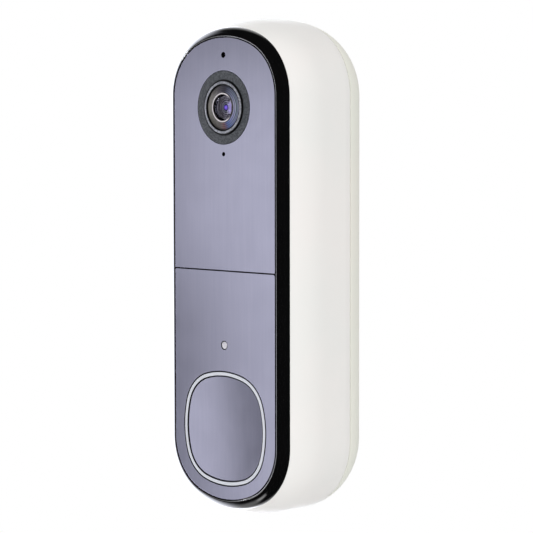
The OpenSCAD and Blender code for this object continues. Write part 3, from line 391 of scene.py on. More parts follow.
# %% [markdown]
# ## White mouldings
# The two shells and the wall plate are injection moulded in white plastic with a satin, faintly
# textured surface. The relief of such a texture is only a few thousandths of a millimetre
# deep, so a bump is the right tool: real geometry would need millions of faces. Broad, hardly
# visible clouds of a warmer and a cooler white keep the large side from looking computed. The
# rear shell comes from another mould and is a shade greener.

# %% White mouldings


def white_moulding(name, cool, warm, roughness):
    made = finish(name, warm, roughness, IOR=1.46)
    colour_by(made, clouds(made, 26, 3), [(0.38, cool), (0.62, warm)])
    gloss_by(made, clouds(made, 7, 3), roughness - 0.04, roughness + 0.04)
    relief_by(made, clouds(made, 0.22, 3), 0.0035)
    return made


white_shell = white_moulding("white shell", (240, 239, 236), (243, 240, 237), 0.46)
white_rear = white_moulding("white rear shell", (243, 244, 233), (246, 244, 234), 0.5)
white_plate = white_moulding("white wall plate", (222, 223, 216), (225, 223, 216), 0.55)
print("white mouldings:", [m.name for m in (white_shell, white_rear, white_plate)])

# %% [markdown]
# ## The dark face
# The bezel is polished black plastic. The face panels and the button are smoked plastic with a
# fine metallic pigment, which gives them a slate colour with a lavender cast even where they
# mirror nothing. A half metallic shader does that. Very fine streaks along the body, left by
# polishing, and a few specks of dust break the gloss up. Their side walls and the outer half of
# their rounded edges are painted black as painted shade.

# %% The dark face
gloss_black = finish("polished black", (4, 4, 5), 0.08, IOR=1.9, Specular_IOR_Level=0.8)
gloss_by(gloss_black, clouds(gloss_black, 4, 4), 0.05, 0.12)
relief_by(gloss_black, clouds(gloss_black, 3, 2), 0.0008)


def mixed_in(made, share, colour):
    """Paints a colour over the one that is there, as strongly as a pattern says."""
    over = made.node_tree.nodes.new("ShaderNodeMix")
    over.data_type = "RGBA"
    over.inputs["B"].default_value = paint(*colour)
    target = shader_of(made).inputs["Base Color"]
    made.node_tree.links.new(target.links[0].from_socket, over.inputs["A"])
    made.node_tree.links.new(share, over.inputs["Factor"])
    made.node_tree.links.new(over.outputs["Result"], target)


def stepped(made, value, start, end):
    """A pattern value turned into a share from 0 at start to 1 at end."""
    spread = made.node_tree.nodes.new("ShaderNodeMapRange")
    spread.inputs["From Min"].default_value = start
    spread.inputs["From Max"].default_value = end
    made.node_tree.links.new(value, spread.inputs["Value"])
    return spread.outputs["Result"]


def painted(made, value, fade, colour):
    """Paints a colour where a value has passed from the first to the second of a pair."""
    mixed_in(made, stepped(made, value, *fade), colour)


FRONT_TO_SIDE = (-0.9, -0.7)


def painted_wall_shade(made, colour):
    """Paints black what faces sideways, as painted shade: the walls and the outer half of the rounded
    edges.

    The Y of a face's direction is -1 where it looks straight ahead and 0 where it looks aside.
    """
    split = made.node_tree.nodes.new("ShaderNodeSeparateXYZ")
    place = made.node_tree.nodes.new("ShaderNodeTexCoord")
    made.node_tree.links.new(place.outputs["Normal"], split.inputs["Vector"])
    painted(made, split.outputs["Y"], FRONT_TO_SIDE, colour)


def dust(made, cell, radius, colour):
    """A few round specks, one at most in each cell of that many millimetres."""
    spots = made.node_tree.nodes.new("ShaderNodeTexVoronoi")
    spots.inputs["Scale"].default_value = 1 / (cell * MM)
    made.node_tree.links.new(own_place(made), spots.inputs["Vector"])
    painted(made, spots.outputs["Distance"], (radius / cell, 0.6 * radius / cell), colour)


def smoked_slate(name):
    made = finish(name, (150, 150, 171), 0.18, Metallic=0.62)
    streaks = clouds(made, 0.6, 3, stretch=(1, 1, 0.03))
    colour_by(made, streaks, [(0.3, (148, 148, 169)), (0.7, (152, 152, 173))])
    gloss_by(made, clouds(made, 6, 4), 0.13, 0.165)
    relief_by(made, clouds(made, 0.8, 2, stretch=(1, 1, 0.2)), 0.0002)
    dust(made, 9, 0.16, (110, 108, 122))
    return made


slate_cap = smoked_slate("smoked slate of the button")
slate = smoked_slate("smoked slate of the panels")
# painted shade: the side walls of the panels and the button are painted near black
WALL_SHADE_BLACK = (6, 6, 7)
for made in (slate_cap, slate):
    painted_wall_shade(made, WALL_SHADE_BLACK)
print("face finishes:", gloss_black.name, "and", slate.name)

# %% [markdown]
# ## Light ring and windows
# The light ring is a diffuser: milky plastic that spreads the light of the lamps behind it. Its
# side walls are painted black as painted shade, for the shade in the gaps beside it, and so are
# the walls of the face panels and of the grey surround. The pattern for that is simply the depth
# of a point below the face: a pair of depths says where the painted shade starts and where it is
# full. The grey surround of the lens is a smoked window with a fine matt texture that lets
# infrared light through.

# %% Light ring and windows


def depth_below_face(made):
    """How far a point lies behind the front of the face, in millimetres."""
    nodes_in, links = made.node_tree.nodes, made.node_tree.links
    split = nodes_in.new("ShaderNodeSeparateXYZ")
    links.new(own_place(made, (1 / MM,) * 3, (0, face_front, 0)), split.inputs["Vector"])
    return split.outputs["Y"]


# painted shade: the panels are painted black from this depth below the face on
PANEL_WALL_SHADE = (0.07, 0.12)
painted(slate, depth_below_face(slate), PANEL_WALL_SHADE, WALL_SHADE_BLACK)

ring_clear = finish("milky diffuser", (206, 209, 217), 0.34)
# painted shade: the light ring turns near black below its front, on its walls
colour_by(ring_clear, depth_below_face(ring_clear),
          [(0.1, (206, 209, 217)), (0.14, (30, 30, 33))])
gloss_by(ring_clear, clouds(ring_clear, 2, 2), 0.3, 0.38)
# painted shade: the ring's sideways walls are painted near black
painted_wall_shade(ring_clear, (20, 20, 22))

surround_grey = finish("smoked window", (60, 64, 68), 0.42, Specular_IOR_Level=0.3)
colour_by(surround_grey, clouds(surround_grey, 0.4, 4),
          [(0.36, (40, 45, 49)), (0.64, (76, 78, 83))])
relief_by(surround_grey, clouds(surround_grey, 0.3, 2), 0.006)
# painted shade: the surround is painted black from this depth below the face on
SURROUND_WALL_SHADE = (0.12, 0.2)
painted(surround_grey, depth_below_face(surround_grey), SURROUND_WALL_SHADE, (5, 5, 6))

led_clear = finish("clear lens", (206, 208, 210), 0.25)
gloss_by(led_clear, clouds(led_clear, 0.6, 2), 0.18, 0.3)
print("windows:", ring_clear.name, surround_grey.name, led_clear.name)

# %% [markdown]
# ## Lens finishes
# A turned ring has fine circular tool marks, and the coated cone gets colours round the axis,
# partly its coating's tint and partly painted reflection. Both patterns are easy once a point is
# known by its distance from an axis and its angle round it, so one helper works these out from
# the piece's coordinates. Where such a pattern fades, a pair of values says where it starts and
# where it is full.

# %% Tools for round patterns


def maths(made, operation, first, second=0.0):
    """One step of arithmetic on pattern values."""
    step = made.node_tree.nodes.new("ShaderNodeMath")
    step.operation = operation
    for socket, value in zip(step.inputs, (first, second)):
        if isinstance(value, (int, float)):
            socket.default_value = value
        else:
            made.node_tree.links.new(value, socket)
    return step.outputs["Value"]


def round_lens(made, axis=lens_axis):
    """Distance from an axis in millimetres, and the angle from -1 to 1 round it."""
    split = made.node_tree.nodes.new("ShaderNodeSeparateXYZ")
    made.node_tree.links.new(own_place(made, (1 / MM,) * 3, axis), split.inputs["Vector"])
    x, z = split.outputs["X"], split.outputs["Z"]
    reach = maths(made, "SQRT", maths(made, "ADD", maths(made, "MULTIPLY", x, x),
                                      maths(made, "MULTIPLY", z, z)))
    angle = maths(made, "DIVIDE", maths(made, "ARCTAN2", z, x), math.pi)
    return reach, angle


def tool_marks(made, pitch, height):
    """Circular marks of a turning tool, pitch millimetres apart."""
    reach, _ = round_lens(made)
    wave = maths(made, "SINE", maths(made, "MULTIPLY", reach, 2 * math.pi / pitch))
    relief_by(made, wave, height)


print("tools for round patterns: distance, angle and tool marks")

# %% [markdown]
# ## Status lens and black mouldings
# The status lens is a small clear window in the lower panel. The gap round it swallows light
# and shows as a dark edge, which is painted on the panel as a ring round the window's middle.
# The barrel and the outer ring of the lens are dull black plastic.

# %% Status lens and black mouldings
STATUS_EDGE = (1.26, 1.16)

status_lens = finish("clear status lens", (204, 202, 210), 0.25)
colour_by(status_lens, clouds(status_lens, 0.6, 2),
          [(0.3, (200, 198, 206)), (0.7, (208, 206, 214))])
status_place, _ = round_lens(slate, middle("status_window"))
painted(slate, status_place, STATUS_EDGE, (34, 34, 40))
print("the dark edge round the status lens reaches", STATUS_EDGE[0], "mm")

lens_black = finish("semi gloss black", (9, 9, 10), 0.45, Specular_IOR_Level=0.12)
gloss_by(lens_black, clouds(lens_black, 1.2, 2), 0.4, 0.5)
tool_marks(lens_black, 0.3, 0.002)

# %% [markdown]
# ## Trim and clamp rings
# Two bright rings frame the lens: the knurled trim ring outside and the clamp ring that holds
# the glass. Only their fronts shine. Their bores and feet lie in shadow between black walls,
# so they are painted black from a given distance or depth on, as painted shadow. The clamp
# ring's outer rim is painted grey as painted shade, and its right side is painted darker as
# painted shade, where it faces away from the front lamps.

# %% Trim and clamp rings
TRIM_BORE = (6.2, 6.1)
TRIM_FOOT = (-0.2, -0.1)
CLAMP_SHADED_SIDE = (0.34, 0.22)
CLAMP_BORE_SHADOW = (3.5, 3.45)
CLAMP_RIM_SHADE = (3.74, 3.82)
SHADOW_BLACK = (8, 8, 10)

trim_metal = finish("turned trim", (160, 162, 170), 0.34, Metallic=0.5)
colour_by(trim_metal, clouds(trim_metal, 0.4, 3),
          [(0.35, (118, 120, 128)), (0.65, (182, 184, 192))])
tool_marks(trim_metal, 0.2, 0.002)
trim_place, _ = round_lens(trim_metal)
painted(trim_metal, trim_place, TRIM_BORE, SHADOW_BLACK)
painted(trim_metal, depth_below_face(trim_metal), TRIM_FOOT, SHADOW_BLACK)

clamp_metal = finish("bright clamp", (214, 208, 212), 0.25, Metallic=0.25)
colour_by(clamp_metal, clouds(clamp_metal, 0.6, 2),
          [(0.3, (204, 198, 204)), (0.7, (224, 218, 220))])
clamp_place, clamp_angle = round_lens(clamp_metal)
# painted shade: the clamp ring's right side is painted darker
from_right = maths(clamp_metal, "ABSOLUTE", clamp_angle)
painted(clamp_metal, from_right, CLAMP_SHADED_SIDE, (34, 32, 44))
# painted shadow: the clamp ring's bore is painted black
painted(clamp_metal, clamp_place, CLAMP_BORE_SHADOW, (4, 4, 5))
# painted shade: the clamp ring's outer rim is painted grey
painted(clamp_metal, clamp_place, CLAMP_RIM_SHADE, (96, 92, 92))
print("ring finishes:", trim_metal.name, "and", clamp_metal.name)

# %% [markdown]
# ## The coated cone
# A thin coating shows other colours on each side. A ramp of colours round the axis paints that
# in, partly the coating's tint and partly painted reflection: lavender on the right and dark at
# the top. A band of teal on the right is painted reflection too, fine dark rings round the cone
# are painted shade in its grooves, and its rim and foot are painted black as painted shadow. The
# multiply-add step turns an angle from -1 to 1 into a place from 0 to 1 on the ramp: its third
# input is left at 0.5.

# %% The coated cone
TEAL_INSIDE = (4.75, 5.0)
TEAL_OUTSIDE = (5.35, 5.1)
TEAL_SIDE = (0.4, 0.1)
RIDGE_PITCH = 0.48
GROOVE_SHADE_FADE = (-0.4, 1.3)
CONE_RIM = (5.6, 5.68)
CONE_FOOT = (-0.05, 0.0)
CONE_SHADOW_BLACK = (6, 6, 8)

cone_metal = finish("coated cone", (118, 116, 130), 0.3, Metallic=0.5)
cone_place, cone_angle = round_lens(cone_metal)
# painted reflection, partly the coating's tint: colours that change round the axis
colour_by(cone_metal, maths(cone_metal, "MULTIPLY_ADD", cone_angle, 0.5),
          [(0.0, (122, 118, 108)), (0.12, (78, 74, 62)), (0.22, (74, 66, 60)),
           (0.27, (112, 74, 78)), (0.32, (92, 116, 178)), (0.4, (156, 158, 200)),
           (0.52, (176, 178, 204)), (0.63, (128, 134, 164)), (0.72, (62, 60, 74)),
           (0.8, (66, 60, 64)), (0.88, (98, 93, 88)), (1.0, (122, 118, 108))])
# painted reflection: a teal band on the right
teal_ring = maths(cone_metal, "MULTIPLY", stepped(cone_metal, cone_place, *TEAL_INSIDE),
                  stepped(cone_metal, cone_place, *TEAL_OUTSIDE))
teal_arc = stepped(cone_metal, maths(cone_metal, "ABSOLUTE", cone_angle), *TEAL_SIDE)
mixed_in(cone_metal, maths(cone_metal, "MULTIPLY", teal_ring, teal_arc), (112, 132, 140))
# painted shade: fine dark rings in the grooves
groove_shade = maths(cone_metal, "SINE",
               maths(cone_metal, "MULTIPLY", cone_place, 2 * math.pi / RIDGE_PITCH))
painted(cone_metal, groove_shade, GROOVE_SHADE_FADE, (24, 24, 30))
# painted shadow: the rim and the foot of the cone are painted black
painted(cone_metal, cone_place, CONE_RIM, CONE_SHADOW_BLACK)
painted(cone_metal, depth_below_face(cone_metal), CONE_FOOT, CONE_SHADOW_BLACK)
tool_marks(cone_metal, 0.42, 0.006)
print("cone finish:", cone_metal.name)

# %% [markdown]
# ## Glass
# The front lens is real glass that lets light through. The inner lens is only seen through it,
# so a painted picture of what lies deeper is enough: the violet coating in the middle, and the
# rings of the glass elements behind, whose bright rings are painted highlights on their rims,
# between dark rings. On the right the bright rings widen into a crescent, a painted reflection.
# The thin rings round it in the barrel get a plain grey, which stands in for their lit edges as
# a painted highlight.

# %% Glass
INNER_LENS_RADIUS = 2.2
CRESCENT_REFLECTION_SIDE = (0.42, 0.22)

# painted highlight: a plain grey stands in for the lit edges of the baffles
baffle_lit_edge_grey = finish("baffle grey", (138, 136, 142), 0.35, Metallic=0.3)
gloss_by(baffle_lit_edge_grey, clouds(baffle_lit_edge_grey, 1, 2), 0.3, 0.4)

glass_front = finish("coated front glass", (244, 242, 250), 0.0, Transmission_Weight=1.0,
                     IOR=1.2, Specular_IOR_Level=0.5, Specular_Tint=paint(200, 190, 255))
gloss_by(glass_front, clouds(glass_front, 1.5, 2), 0.0, 0.02)

glass_inner = finish("violet coated glass", (40, 30, 90), 0.3, Specular_IOR_Level=0.15)
inner_place, inner_angle = round_lens(glass_inner)
band = maths(glass_inner, "DIVIDE", inner_place, INNER_LENS_RADIUS)
# painted highlights: the bright rings of the glass elements behind
colour_by(glass_inner, band,
          [(0.0, (176, 140, 255)), (0.12, (140, 104, 250)), (0.24, (84, 56, 190)),
           (0.31, (10, 10, 34)), (0.38, (8, 10, 18)), (0.45, (132, 138, 150)),
           (0.53, (8, 8, 12)), (0.6, (4, 4, 6)), (0.68, (160, 158, 170)),
           (0.76, (6, 6, 8)), (0.84, (4, 4, 6)), (0.9, (120, 118, 126)), (0.96, (4, 4, 6)),
           (1.0, (4, 4, 5))])
# painted reflection: a bright crescent on the right, laid over the rings by a lighten mix
crescent_reflection = ramp(glass_inner, band, [(0.34, (0, 0, 0)), (0.42, (156, 146, 208)),
                                    (0.58, (198, 188, 244)), (0.76, (226, 218, 255)),
                                    (0.83, (150, 140, 190)), (0.88, (0, 0, 0))])
right_side = stepped(glass_inner, maths(glass_inner, "ABSOLUTE", inner_angle), *CRESCENT_REFLECTION_SIDE)
lit = glass_inner.node_tree.nodes.new("ShaderNodeMix")
lit.data_type = "RGBA"
lit.blend_type = "LIGHTEN"
inner_colour = shader_of(glass_inner).inputs["Base Color"]
glass_inner.node_tree.links.new(right_side, lit.inputs["Factor"])
glass_inner.node_tree.links.new(inner_colour.links[0].from_socket, lit.inputs["A"])
glass_inner.node_tree.links.new(crescent_reflection, lit.inputs["B"])
glass_inner.node_tree.links.new(lit.outputs["Result"], inner_colour)
gloss_by(glass_inner, clouds(glass_inner, 1, 2), 0.26, 0.34)
print("glass finishes:", glass_front.name, "and", glass_inner.name)

# %% [markdown]
# ## Inner parts and metal
# Nobody sees most of these until the doorbell is opened, but the same tools finish them in a
# few lines each: blocks of copper under green solder mask on the boards, grained black
# mouldings, dull silicone, zinc plated screws, drawn spring wire, brass, amber film and the
# blue shrink wrap of the cell.

# %% Inner parts and metal


def worn(name, colour, lighter, roughness, size, height, **sockets):
    """A plain finish with clouds of a second shade, uneven gloss and a fine relief."""
    made = finish(name, colour, roughness, **sockets)
    pattern = clouds(made, size, 3)
    colour_by(made, pattern, [(0.35, colour), (0.65, lighter)])
    gloss_by(made, pattern, roughness - 0.05, roughness + 0.05)
    relief_by(made, clouds(made, size / 4, 2), height)
    return made


black_plastic = worn("grained black", (34, 34, 36), (42, 42, 45), 0.55, 1.2, 0.006)
silicone = worn("dull silicone", (24, 24, 26), (32, 32, 34), 0.75, 1.5, 0.004, Sheen_Weight=0.05)
seal_silicone = worn("pale seal", (206, 203, 168), (214, 211, 180), 0.7, 1.5, 0.004)
screw_steel = worn("zinc plate", (176, 178, 182), (198, 200, 204), 0.3, 0.8, 0.002, Metallic=1.0)
spring_steel = worn("spring wire", (170, 172, 176), (190, 192, 196), 0.25, 0.4, 0.001, Metallic=1.0)
brass = worn("turned brass", (206, 170, 96), (222, 188, 118), 0.28, 0.9, 0.002, Metallic=1.0)
flex_amber = worn("amber film", (178, 118, 44), (196, 134, 56), 0.3, 1.0, 0.001)
can_metal = worn("tinned shield", (188, 190, 192), (206, 208, 210), 0.34, 2.0, 0.003, Metallic=1.0)
sensor_glass = worn("sensor cover", (30, 44, 52), (44, 58, 80), 0.06, 1.0, 0.0005, Coat_Weight=0.5)
cell_wrap = worn("shrink wrap", (60, 96, 150), (70, 106, 160), 0.35, 4.0, 0.01)

circuit_board = finish("solder mask", (24, 92, 60), 0.35)
copper = circuit_board.node_tree.nodes.new("ShaderNodeTexVoronoi")
copper.distance = "CHEBYCHEV"
copper.inputs["Scale"].default_value = 1 / (1.6 * MM)
circuit_board.node_tree.links.new(own_place(circuit_board), copper.inputs["Vector"])
colour_by(circuit_board, copper.outputs["Distance"],
          [(0.18, (188, 160, 92)), (0.22, (22, 82, 54)), (0.5, (34, 110, 72))])
relief_by(circuit_board, copper.outputs["Distance"], 0.02)

# %% [markdown]
# ## Giving each piece its finish
# The CAD record names a material slot for every piece. A table from slot to finish therefore
# dresses all the pieces at once, and a short list of exceptions follows for pieces that share
# a slot but not a finish.

# %% Dress the pieces
finishes = {"white_shell": white_shell, "white_rear": white_rear, "white_plate": white_plate,
            "gloss_black": gloss_black, "gloss_slate": slate, "ring_clear": ring_clear,
            "grey_surround": surround_grey, "lens_black": lens_black, "trim_metal": trim_metal,
            "cone_metal": cone_metal, "lens_glass": glass_front, "black_plastic": black_plastic,
            "circuit_board": circuit_board, "silicone": silicone, "spring_steel": spring_steel,
            "screw_steel": screw_steel, "brass": brass, "flex_amber": flex_amber,
            "can_metal": can_metal, "sensor_glass": sensor_glass, "led_clear": led_clear,
            "cell_wrap": cell_wrap}
exceptions = {"inner_lens": glass_inner, "housing_seal": seal_silicone,
              "button_cap": slate_cap, "lens_clamp_ring": clamp_metal,
              "status_window": status_lens}
slot_of = {part["node"]: part["material_slot"] for part in frame["record"]["subparts"]}
for name, piece in nodes.items():
    piece.data.materials[0] = exceptions.get(name, finishes[slot_of[name]])
print("dressed", len(nodes), "pieces in", len(finishes) + len(exceptions), "finishes")

# %% [markdown]
# ## Rounded edges
# A knife-sharp edge never catches the light, so it gives a computed object away at once. Real
# mouldings have edge radii of a tenth of a millimetre or more, and the thin bright line beside
# the face panels is such a radius. The CAD pieces are kept as they are. A finer copy of each
# visible moulding stands in for it: its flat facets are joined, a bevel rounds every edge
# sharper than 30 degrees, and weighted normals let the large flat faces stay flat.

# %% Rounded edges
SAME_POINT = 0.0005 * MM
FLAT_ANGLE = math.radians(0.2)
SHARP_ANGLE = math.radians(30)


def eased(name, radius, body="unit"):
    """A stand-in for a CAD piece with its edges rounded by radius millimetres."""
    shape = nodes[name].data.copy()
    work = bmesh.new()
    work.from_mesh(shape)
    bmesh.ops.remove_doubles(work, verts=work.verts, dist=SAME_POINT)
    bmesh.ops.dissolve_limit(work, angle_limit=FLAT_ANGLE, verts=work.verts, edges=work.edges)
    for face in work.faces:
        face.smooth = True
    work.to_mesh(shape)
    work.free()
    piece = bpy.data.objects.new(name + "_eased", shape)
    bpy.context.scene.collection.objects.link(piece)
    edge = piece.modifiers.new("edge", "BEVEL")
    edge.width = radius * MM
    edge.segments = 3
    edge.limit_method = "ANGLE"
    edge.angle_limit = SHARP_ANGLE
    even = piece.modifiers.new("even", "WEIGHTED_NORMAL")
    even.weight = 100
    plain = bpy.data.meshes.new_from_object(
        piece.evaluated_get(bpy.context.evaluated_depsgraph_get()))
    piece.modifiers.clear()
    piece.data = plain
    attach(piece, body)
    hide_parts(name)
    return piece


for name, radius in {"front_housing": 0.25, "rear_housing": 0.25, "bezel": 0.4,
                     "upper_face_panel": 0.08, "lower_face_panel": 0.08, "lens_surround": 0.08,
                     "button_light_ring": 0.08, "lens_trim_ring": 0.1, "lens_clamp_ring": 0.1,
                     "wall_plate": 0.25, "status_window": 0.08}.items():
    made = eased(name, radius)
    print(made.name, len(made.data.polygons), "faces")
cap = eased("button_cap", 0.1, "button")
print(cap.name, len(cap.data.polygons), "faces")

# %% [markdown]
# ## Turned lens parts
# Lenses, rings and the coated cone are all turned about one axis, so one helper makes them. It
# takes the outline of half a section, as distances from the axis and heights above the face,
# carries it round in small steps and joins the rings of points with faces. Where the outline
# reaches the axis the ring shrinks to a single point, which keeps the pole closed. The domes
# get their points from the formula of a sphere cap, fine enough to refract cleanly, and the
# cone gets real turned steps, because light on them makes the fine rings that a bump can't.

# %% A helper for turned parts
ROUND_STEPS = 192
DOME_STEPS = 24
CREASE_ANGLE = math.radians(22)


def turned(name, outline, node, material):
    """A solid turned about the lens axis; outline points are (reach, height) in millimetres."""
    work = bmesh.new()
    rings = []
    for reach, height in outline:
        turns = ROUND_STEPS if reach > 0 else 1
        rings.append([work.verts.new((
            lens_axis.x + reach * MM * math.cos(2 * math.pi * k / turns),
            face_front - height * MM,
            lens_axis.z + reach * MM * math.sin(2 * math.pi * k / turns))) for k in range(turns)])
    after = rings[1:] + ([rings[0]] if outline[0][0] > 0 else [])
    for near, far in zip(rings, after):
        for k in range(ROUND_STEPS):
            corners = [near[k % len(near)], near[(k + 1) % len(near)],
                       far[(k + 1) % len(far)], far[k % len(far)]]
            work.faces.new(list(dict.fromkeys(corners)))
    bmesh.ops.recalc_face_normals(work, faces=work.faces)
    for face in work.faces:
        face.smooth = True
    for edge in work.edges:
        edge.smooth = edge.calc_face_angle(0) < CREASE_ANGLE
    shape = bpy.data.meshes.new(name)
    work.to_mesh(shape)
    work.free()
    shape.materials.append(material)
    piece = bpy.data.objects.new(name, shape)
    bpy.context.scene.collection.objects.link(piece)
    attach(piece, "unit")
    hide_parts(node)
    print(name, len(shape.polygons), "faces")
    return piece


def cap_outline(radius, edge, rise):
    """Half a dome from its edge up to the pole, as part of a circle."""
    ball = (radius ** 2 + rise ** 2) / (2 * rise)
    reaches = [radius * (1 - k / DOME_STEPS) for k in range(DOME_STEPS + 1)]
    return [(reach, edge + rise - ball + math.sqrt(ball ** 2 - reach ** 2)) for reach in reaches]


def reach_and_heights(name):
    """Outer radius, front and back of a turned CAD piece, in millimetres from the face."""
    low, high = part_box(name)
    return (high.x - low.x) / 2 / MM, (face_front - low.y) / MM, (face_front - high.y) / MM


print("helpers ready:", ROUND_STEPS, "steps round the axis")

# %% [markdown]
# ## Lenses and cone
# The front lens bulges on both sides, so it shows what lies behind it a little larger. In a
# path tracer a lamp's light hardly finds its way through bent glass, and everything behind the
# lens would be black. The lens is therefore told to cast no shadow: it still mirrors and bends
# what is seen, but the lamps reach the inner lens.

# %% Lenses and cone
lens_reach, lens_front, lens_back = reach_and_heights("front_lens")
FRONT_DOME = 0.35
BACK_DOME = 0.7
back_side = [(reach, 2 * lens_back + BACK_DOME - height)
             for reach, height in reversed(cap_outline(lens_reach, lens_back, BACK_DOME))]
front_side = cap_outline(lens_reach, lens_front - FRONT_DOME, FRONT_DOME)
front_glass = turned("front_lens_turned", back_side + front_side, "front_lens", glass_front)
front_glass.visible_shadow = False

inner_reach, inner_front, inner_back = reach_and_heights("inner_lens")
INNER_DOME = 0.25
INNER_SINK = 0.2
inner_edge = inner_front - INNER_SINK
turned("inner_lens_turned",
       [(0, inner_back), (inner_reach, inner_back)]
       + cap_outline(inner_reach, inner_edge, INNER_DOME), "inner_lens", glass_inner)

cone_reach, cone_front, cone_back = reach_and_heights("lens_cone")
CONE_INNER = 3.92
CONE_RISE = 0.35
CONE_WALL = 0.5
TREAD = 0.75
TREAD_RISE = 0.2
STEPS = 11
step_w = (cone_reach - CONE_INNER) / STEPS
step_h = CONE_RISE / STEPS
cone_outline = [(cone_reach, cone_back)]
for k in range(STEPS):
    reach, height = cone_reach - k * step_w, cone_front - CONE_RISE + k * step_h
    cone_outline += [(reach, height), (reach - TREAD * step_w, height + TREAD_RISE * step_h)]
cone_outline += [(CONE_INNER, cone_front), (CONE_INNER, cone_front - CONE_WALL),
                 (cone_reach - CONE_WALL, cone_back)]
turned("lens_cone_turned", cone_outline, "lens_cone", cone_metal)

# %% [markdown]
# ## Geometry Nodes
# Rings, meshes and springs repeat one simple shape by a rule. Geometry Nodes describe such a
# rule once, with its sizes as named inputs, and Blender then builds as many copies as needed.
# A few helpers keep the trees short: one starts a tree with its inputs, one adds a node and
# plugs its inputs in, two more do arithmetic and make vectors, and the last closes the tree,
# builds the piece and freezes it as a plain mesh, because an export would lose the instances.

# %% Helpers for Geometry Nodes


def new_tree(name, **sizes):
    """An empty tree with a named input for each size, and the sockets that carry them."""
    tree = bpy.data.node_groups.new(name, "GeometryNodeTree")
    tree.interface.new_socket("Geometry", in_out="OUTPUT", socket_type="NodeSocketGeometry")
    for label, value in sizes.items():
        kind = "NodeSocketInt" if isinstance(value, int) else "NodeSocketFloat"
        socket = tree.interface.new_socket(label, in_out="INPUT", socket_type=kind)
        socket.default_value = value
    return tree, tree.nodes.new("NodeGroupInput").outputs


def step(tree, kind, plugs=None, **settings):
    """Adds a node; each plug is a value or an output of an earlier node."""
    node = tree.nodes.new(kind)
    for setting, value in settings.items():
        setattr(node, setting, value)
    for socket, value in (plugs or {}).items():
        if isinstance(value, bpy.types.NodeSocket):
            tree.links.new(value, node.inputs[socket])
        else:
            node.inputs[socket].default_value = value
    return node


def worked_out(tree, operation, first, second):
    """One step of arithmetic, as the socket that carries its result."""
    return step(tree, "ShaderNodeMath", {0: first, 1: second}, operation=operation).outputs["Value"]


def arrow(tree, **parts):
    """A vector from its X, Y and Z."""
    return step(tree, "ShaderNodeCombineXYZ", parts).outputs["Vector"]


def grown(name, tree, shape, sizes, material, place, body="unit"):
    """Closes a tree, builds it with these sizes and puts the plain mesh in its place."""
    real = step(tree, "GeometryNodeRealizeInstances", {"Geometry": shape})
    painted = step(tree, "GeometryNodeSetMaterial",
                   {"Geometry": real.outputs["Geometry"], "Material": material})
    end = tree.nodes.new("NodeGroupOutput")
    tree.links.new(painted.outputs["Geometry"], end.inputs["Geometry"])
    piece = bpy.data.objects.new(name, bpy.data.meshes.new(name))
    bpy.context.scene.collection.objects.link(piece)
    rule = piece.modifiers.new("rule", "NODES")
    rule.node_group = tree
    for item in tree.interface.items_tree:
        if item.in_out == "INPUT":
            rule[item.identifier] = sizes[item.name]
    plain = bpy.data.meshes.new_from_object(
        piece.evaluated_get(bpy.context.evaluated_depsgraph_get()))
    piece.modifiers.clear()
    piece.data = plain
    plain.transform(place)
    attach(piece, body)
    print(name, len(plain.polygons), "faces")
    return piece


def on_lens_axis(height):
    """Lays a flat shape, drawn with Z up, on the face at a height above it in millimetres."""
    return (Matrix.Translation((lens_axis.x, face_front - height * MM, lens_axis.z))
            @ Matrix.Rotation(math.radians(90), 4, "X"))


print("helpers ready")

# %% [markdown]
# ## Knurl on the trim ring
# The bright ring round the cone carries a fine knurl: short ribs that point at the lens. Each
# rib is a low bar, and the rule sets copies of it on the points of a circle, turned to point
# outwards. The bars are a few hundredths of a millimetre high, just enough to break the shine.

# %% Knurl on the trim ring
KNURL_INSET = 0.39
trim_reach, trim_front, _ = reach_and_heights("lens_trim_ring")
knurl_sizes = {"Ribs": 168, "Ring radius": (trim_reach - KNURL_INSET) * MM,
               "Rib length": 0.56 * MM, "Rib width": 0.1 * MM, "Rib height": 0.05 * MM}
tree, size = new_tree("knurl", **knurl_sizes)
circle = step(tree, "GeometryNodeMeshCircle", {"Vertices": size["Ribs"], "Radius": size["Ring radius"]})
bar_size = arrow(tree, X=size["Rib length"], Y=size["Rib width"], Z=size["Rib height"])
bar = step(tree, "GeometryNodeMeshCube", {"Size": bar_size})
where = step(tree, "GeometryNodeInputPosition")
outward = step(tree, "FunctionNodeAlignEulerToVector", {"Vector": where.outputs["Position"]})
ribs = step(tree, "GeometryNodeInstanceOnPoints",
            {"Points": circle.outputs["Mesh"], "Instance": bar.outputs["Mesh"],
             "Rotation": outward.outputs["Rotation"]})
knurl = grown("trim_ring_knurl", tree, ribs.outputs["Instances"], knurl_sizes, trim_metal,
              on_lens_axis(trim_front))

# %% [markdown]
# ## Light baffles in the barrel
# Round the inner lens the barrel is stepped: thin rings, each smaller and deeper than the last,
# keep stray light away from the sensor. The rule makes a line of points that goes into the
# barrel and sets one thin ring on each, scaled down a little more at every point.

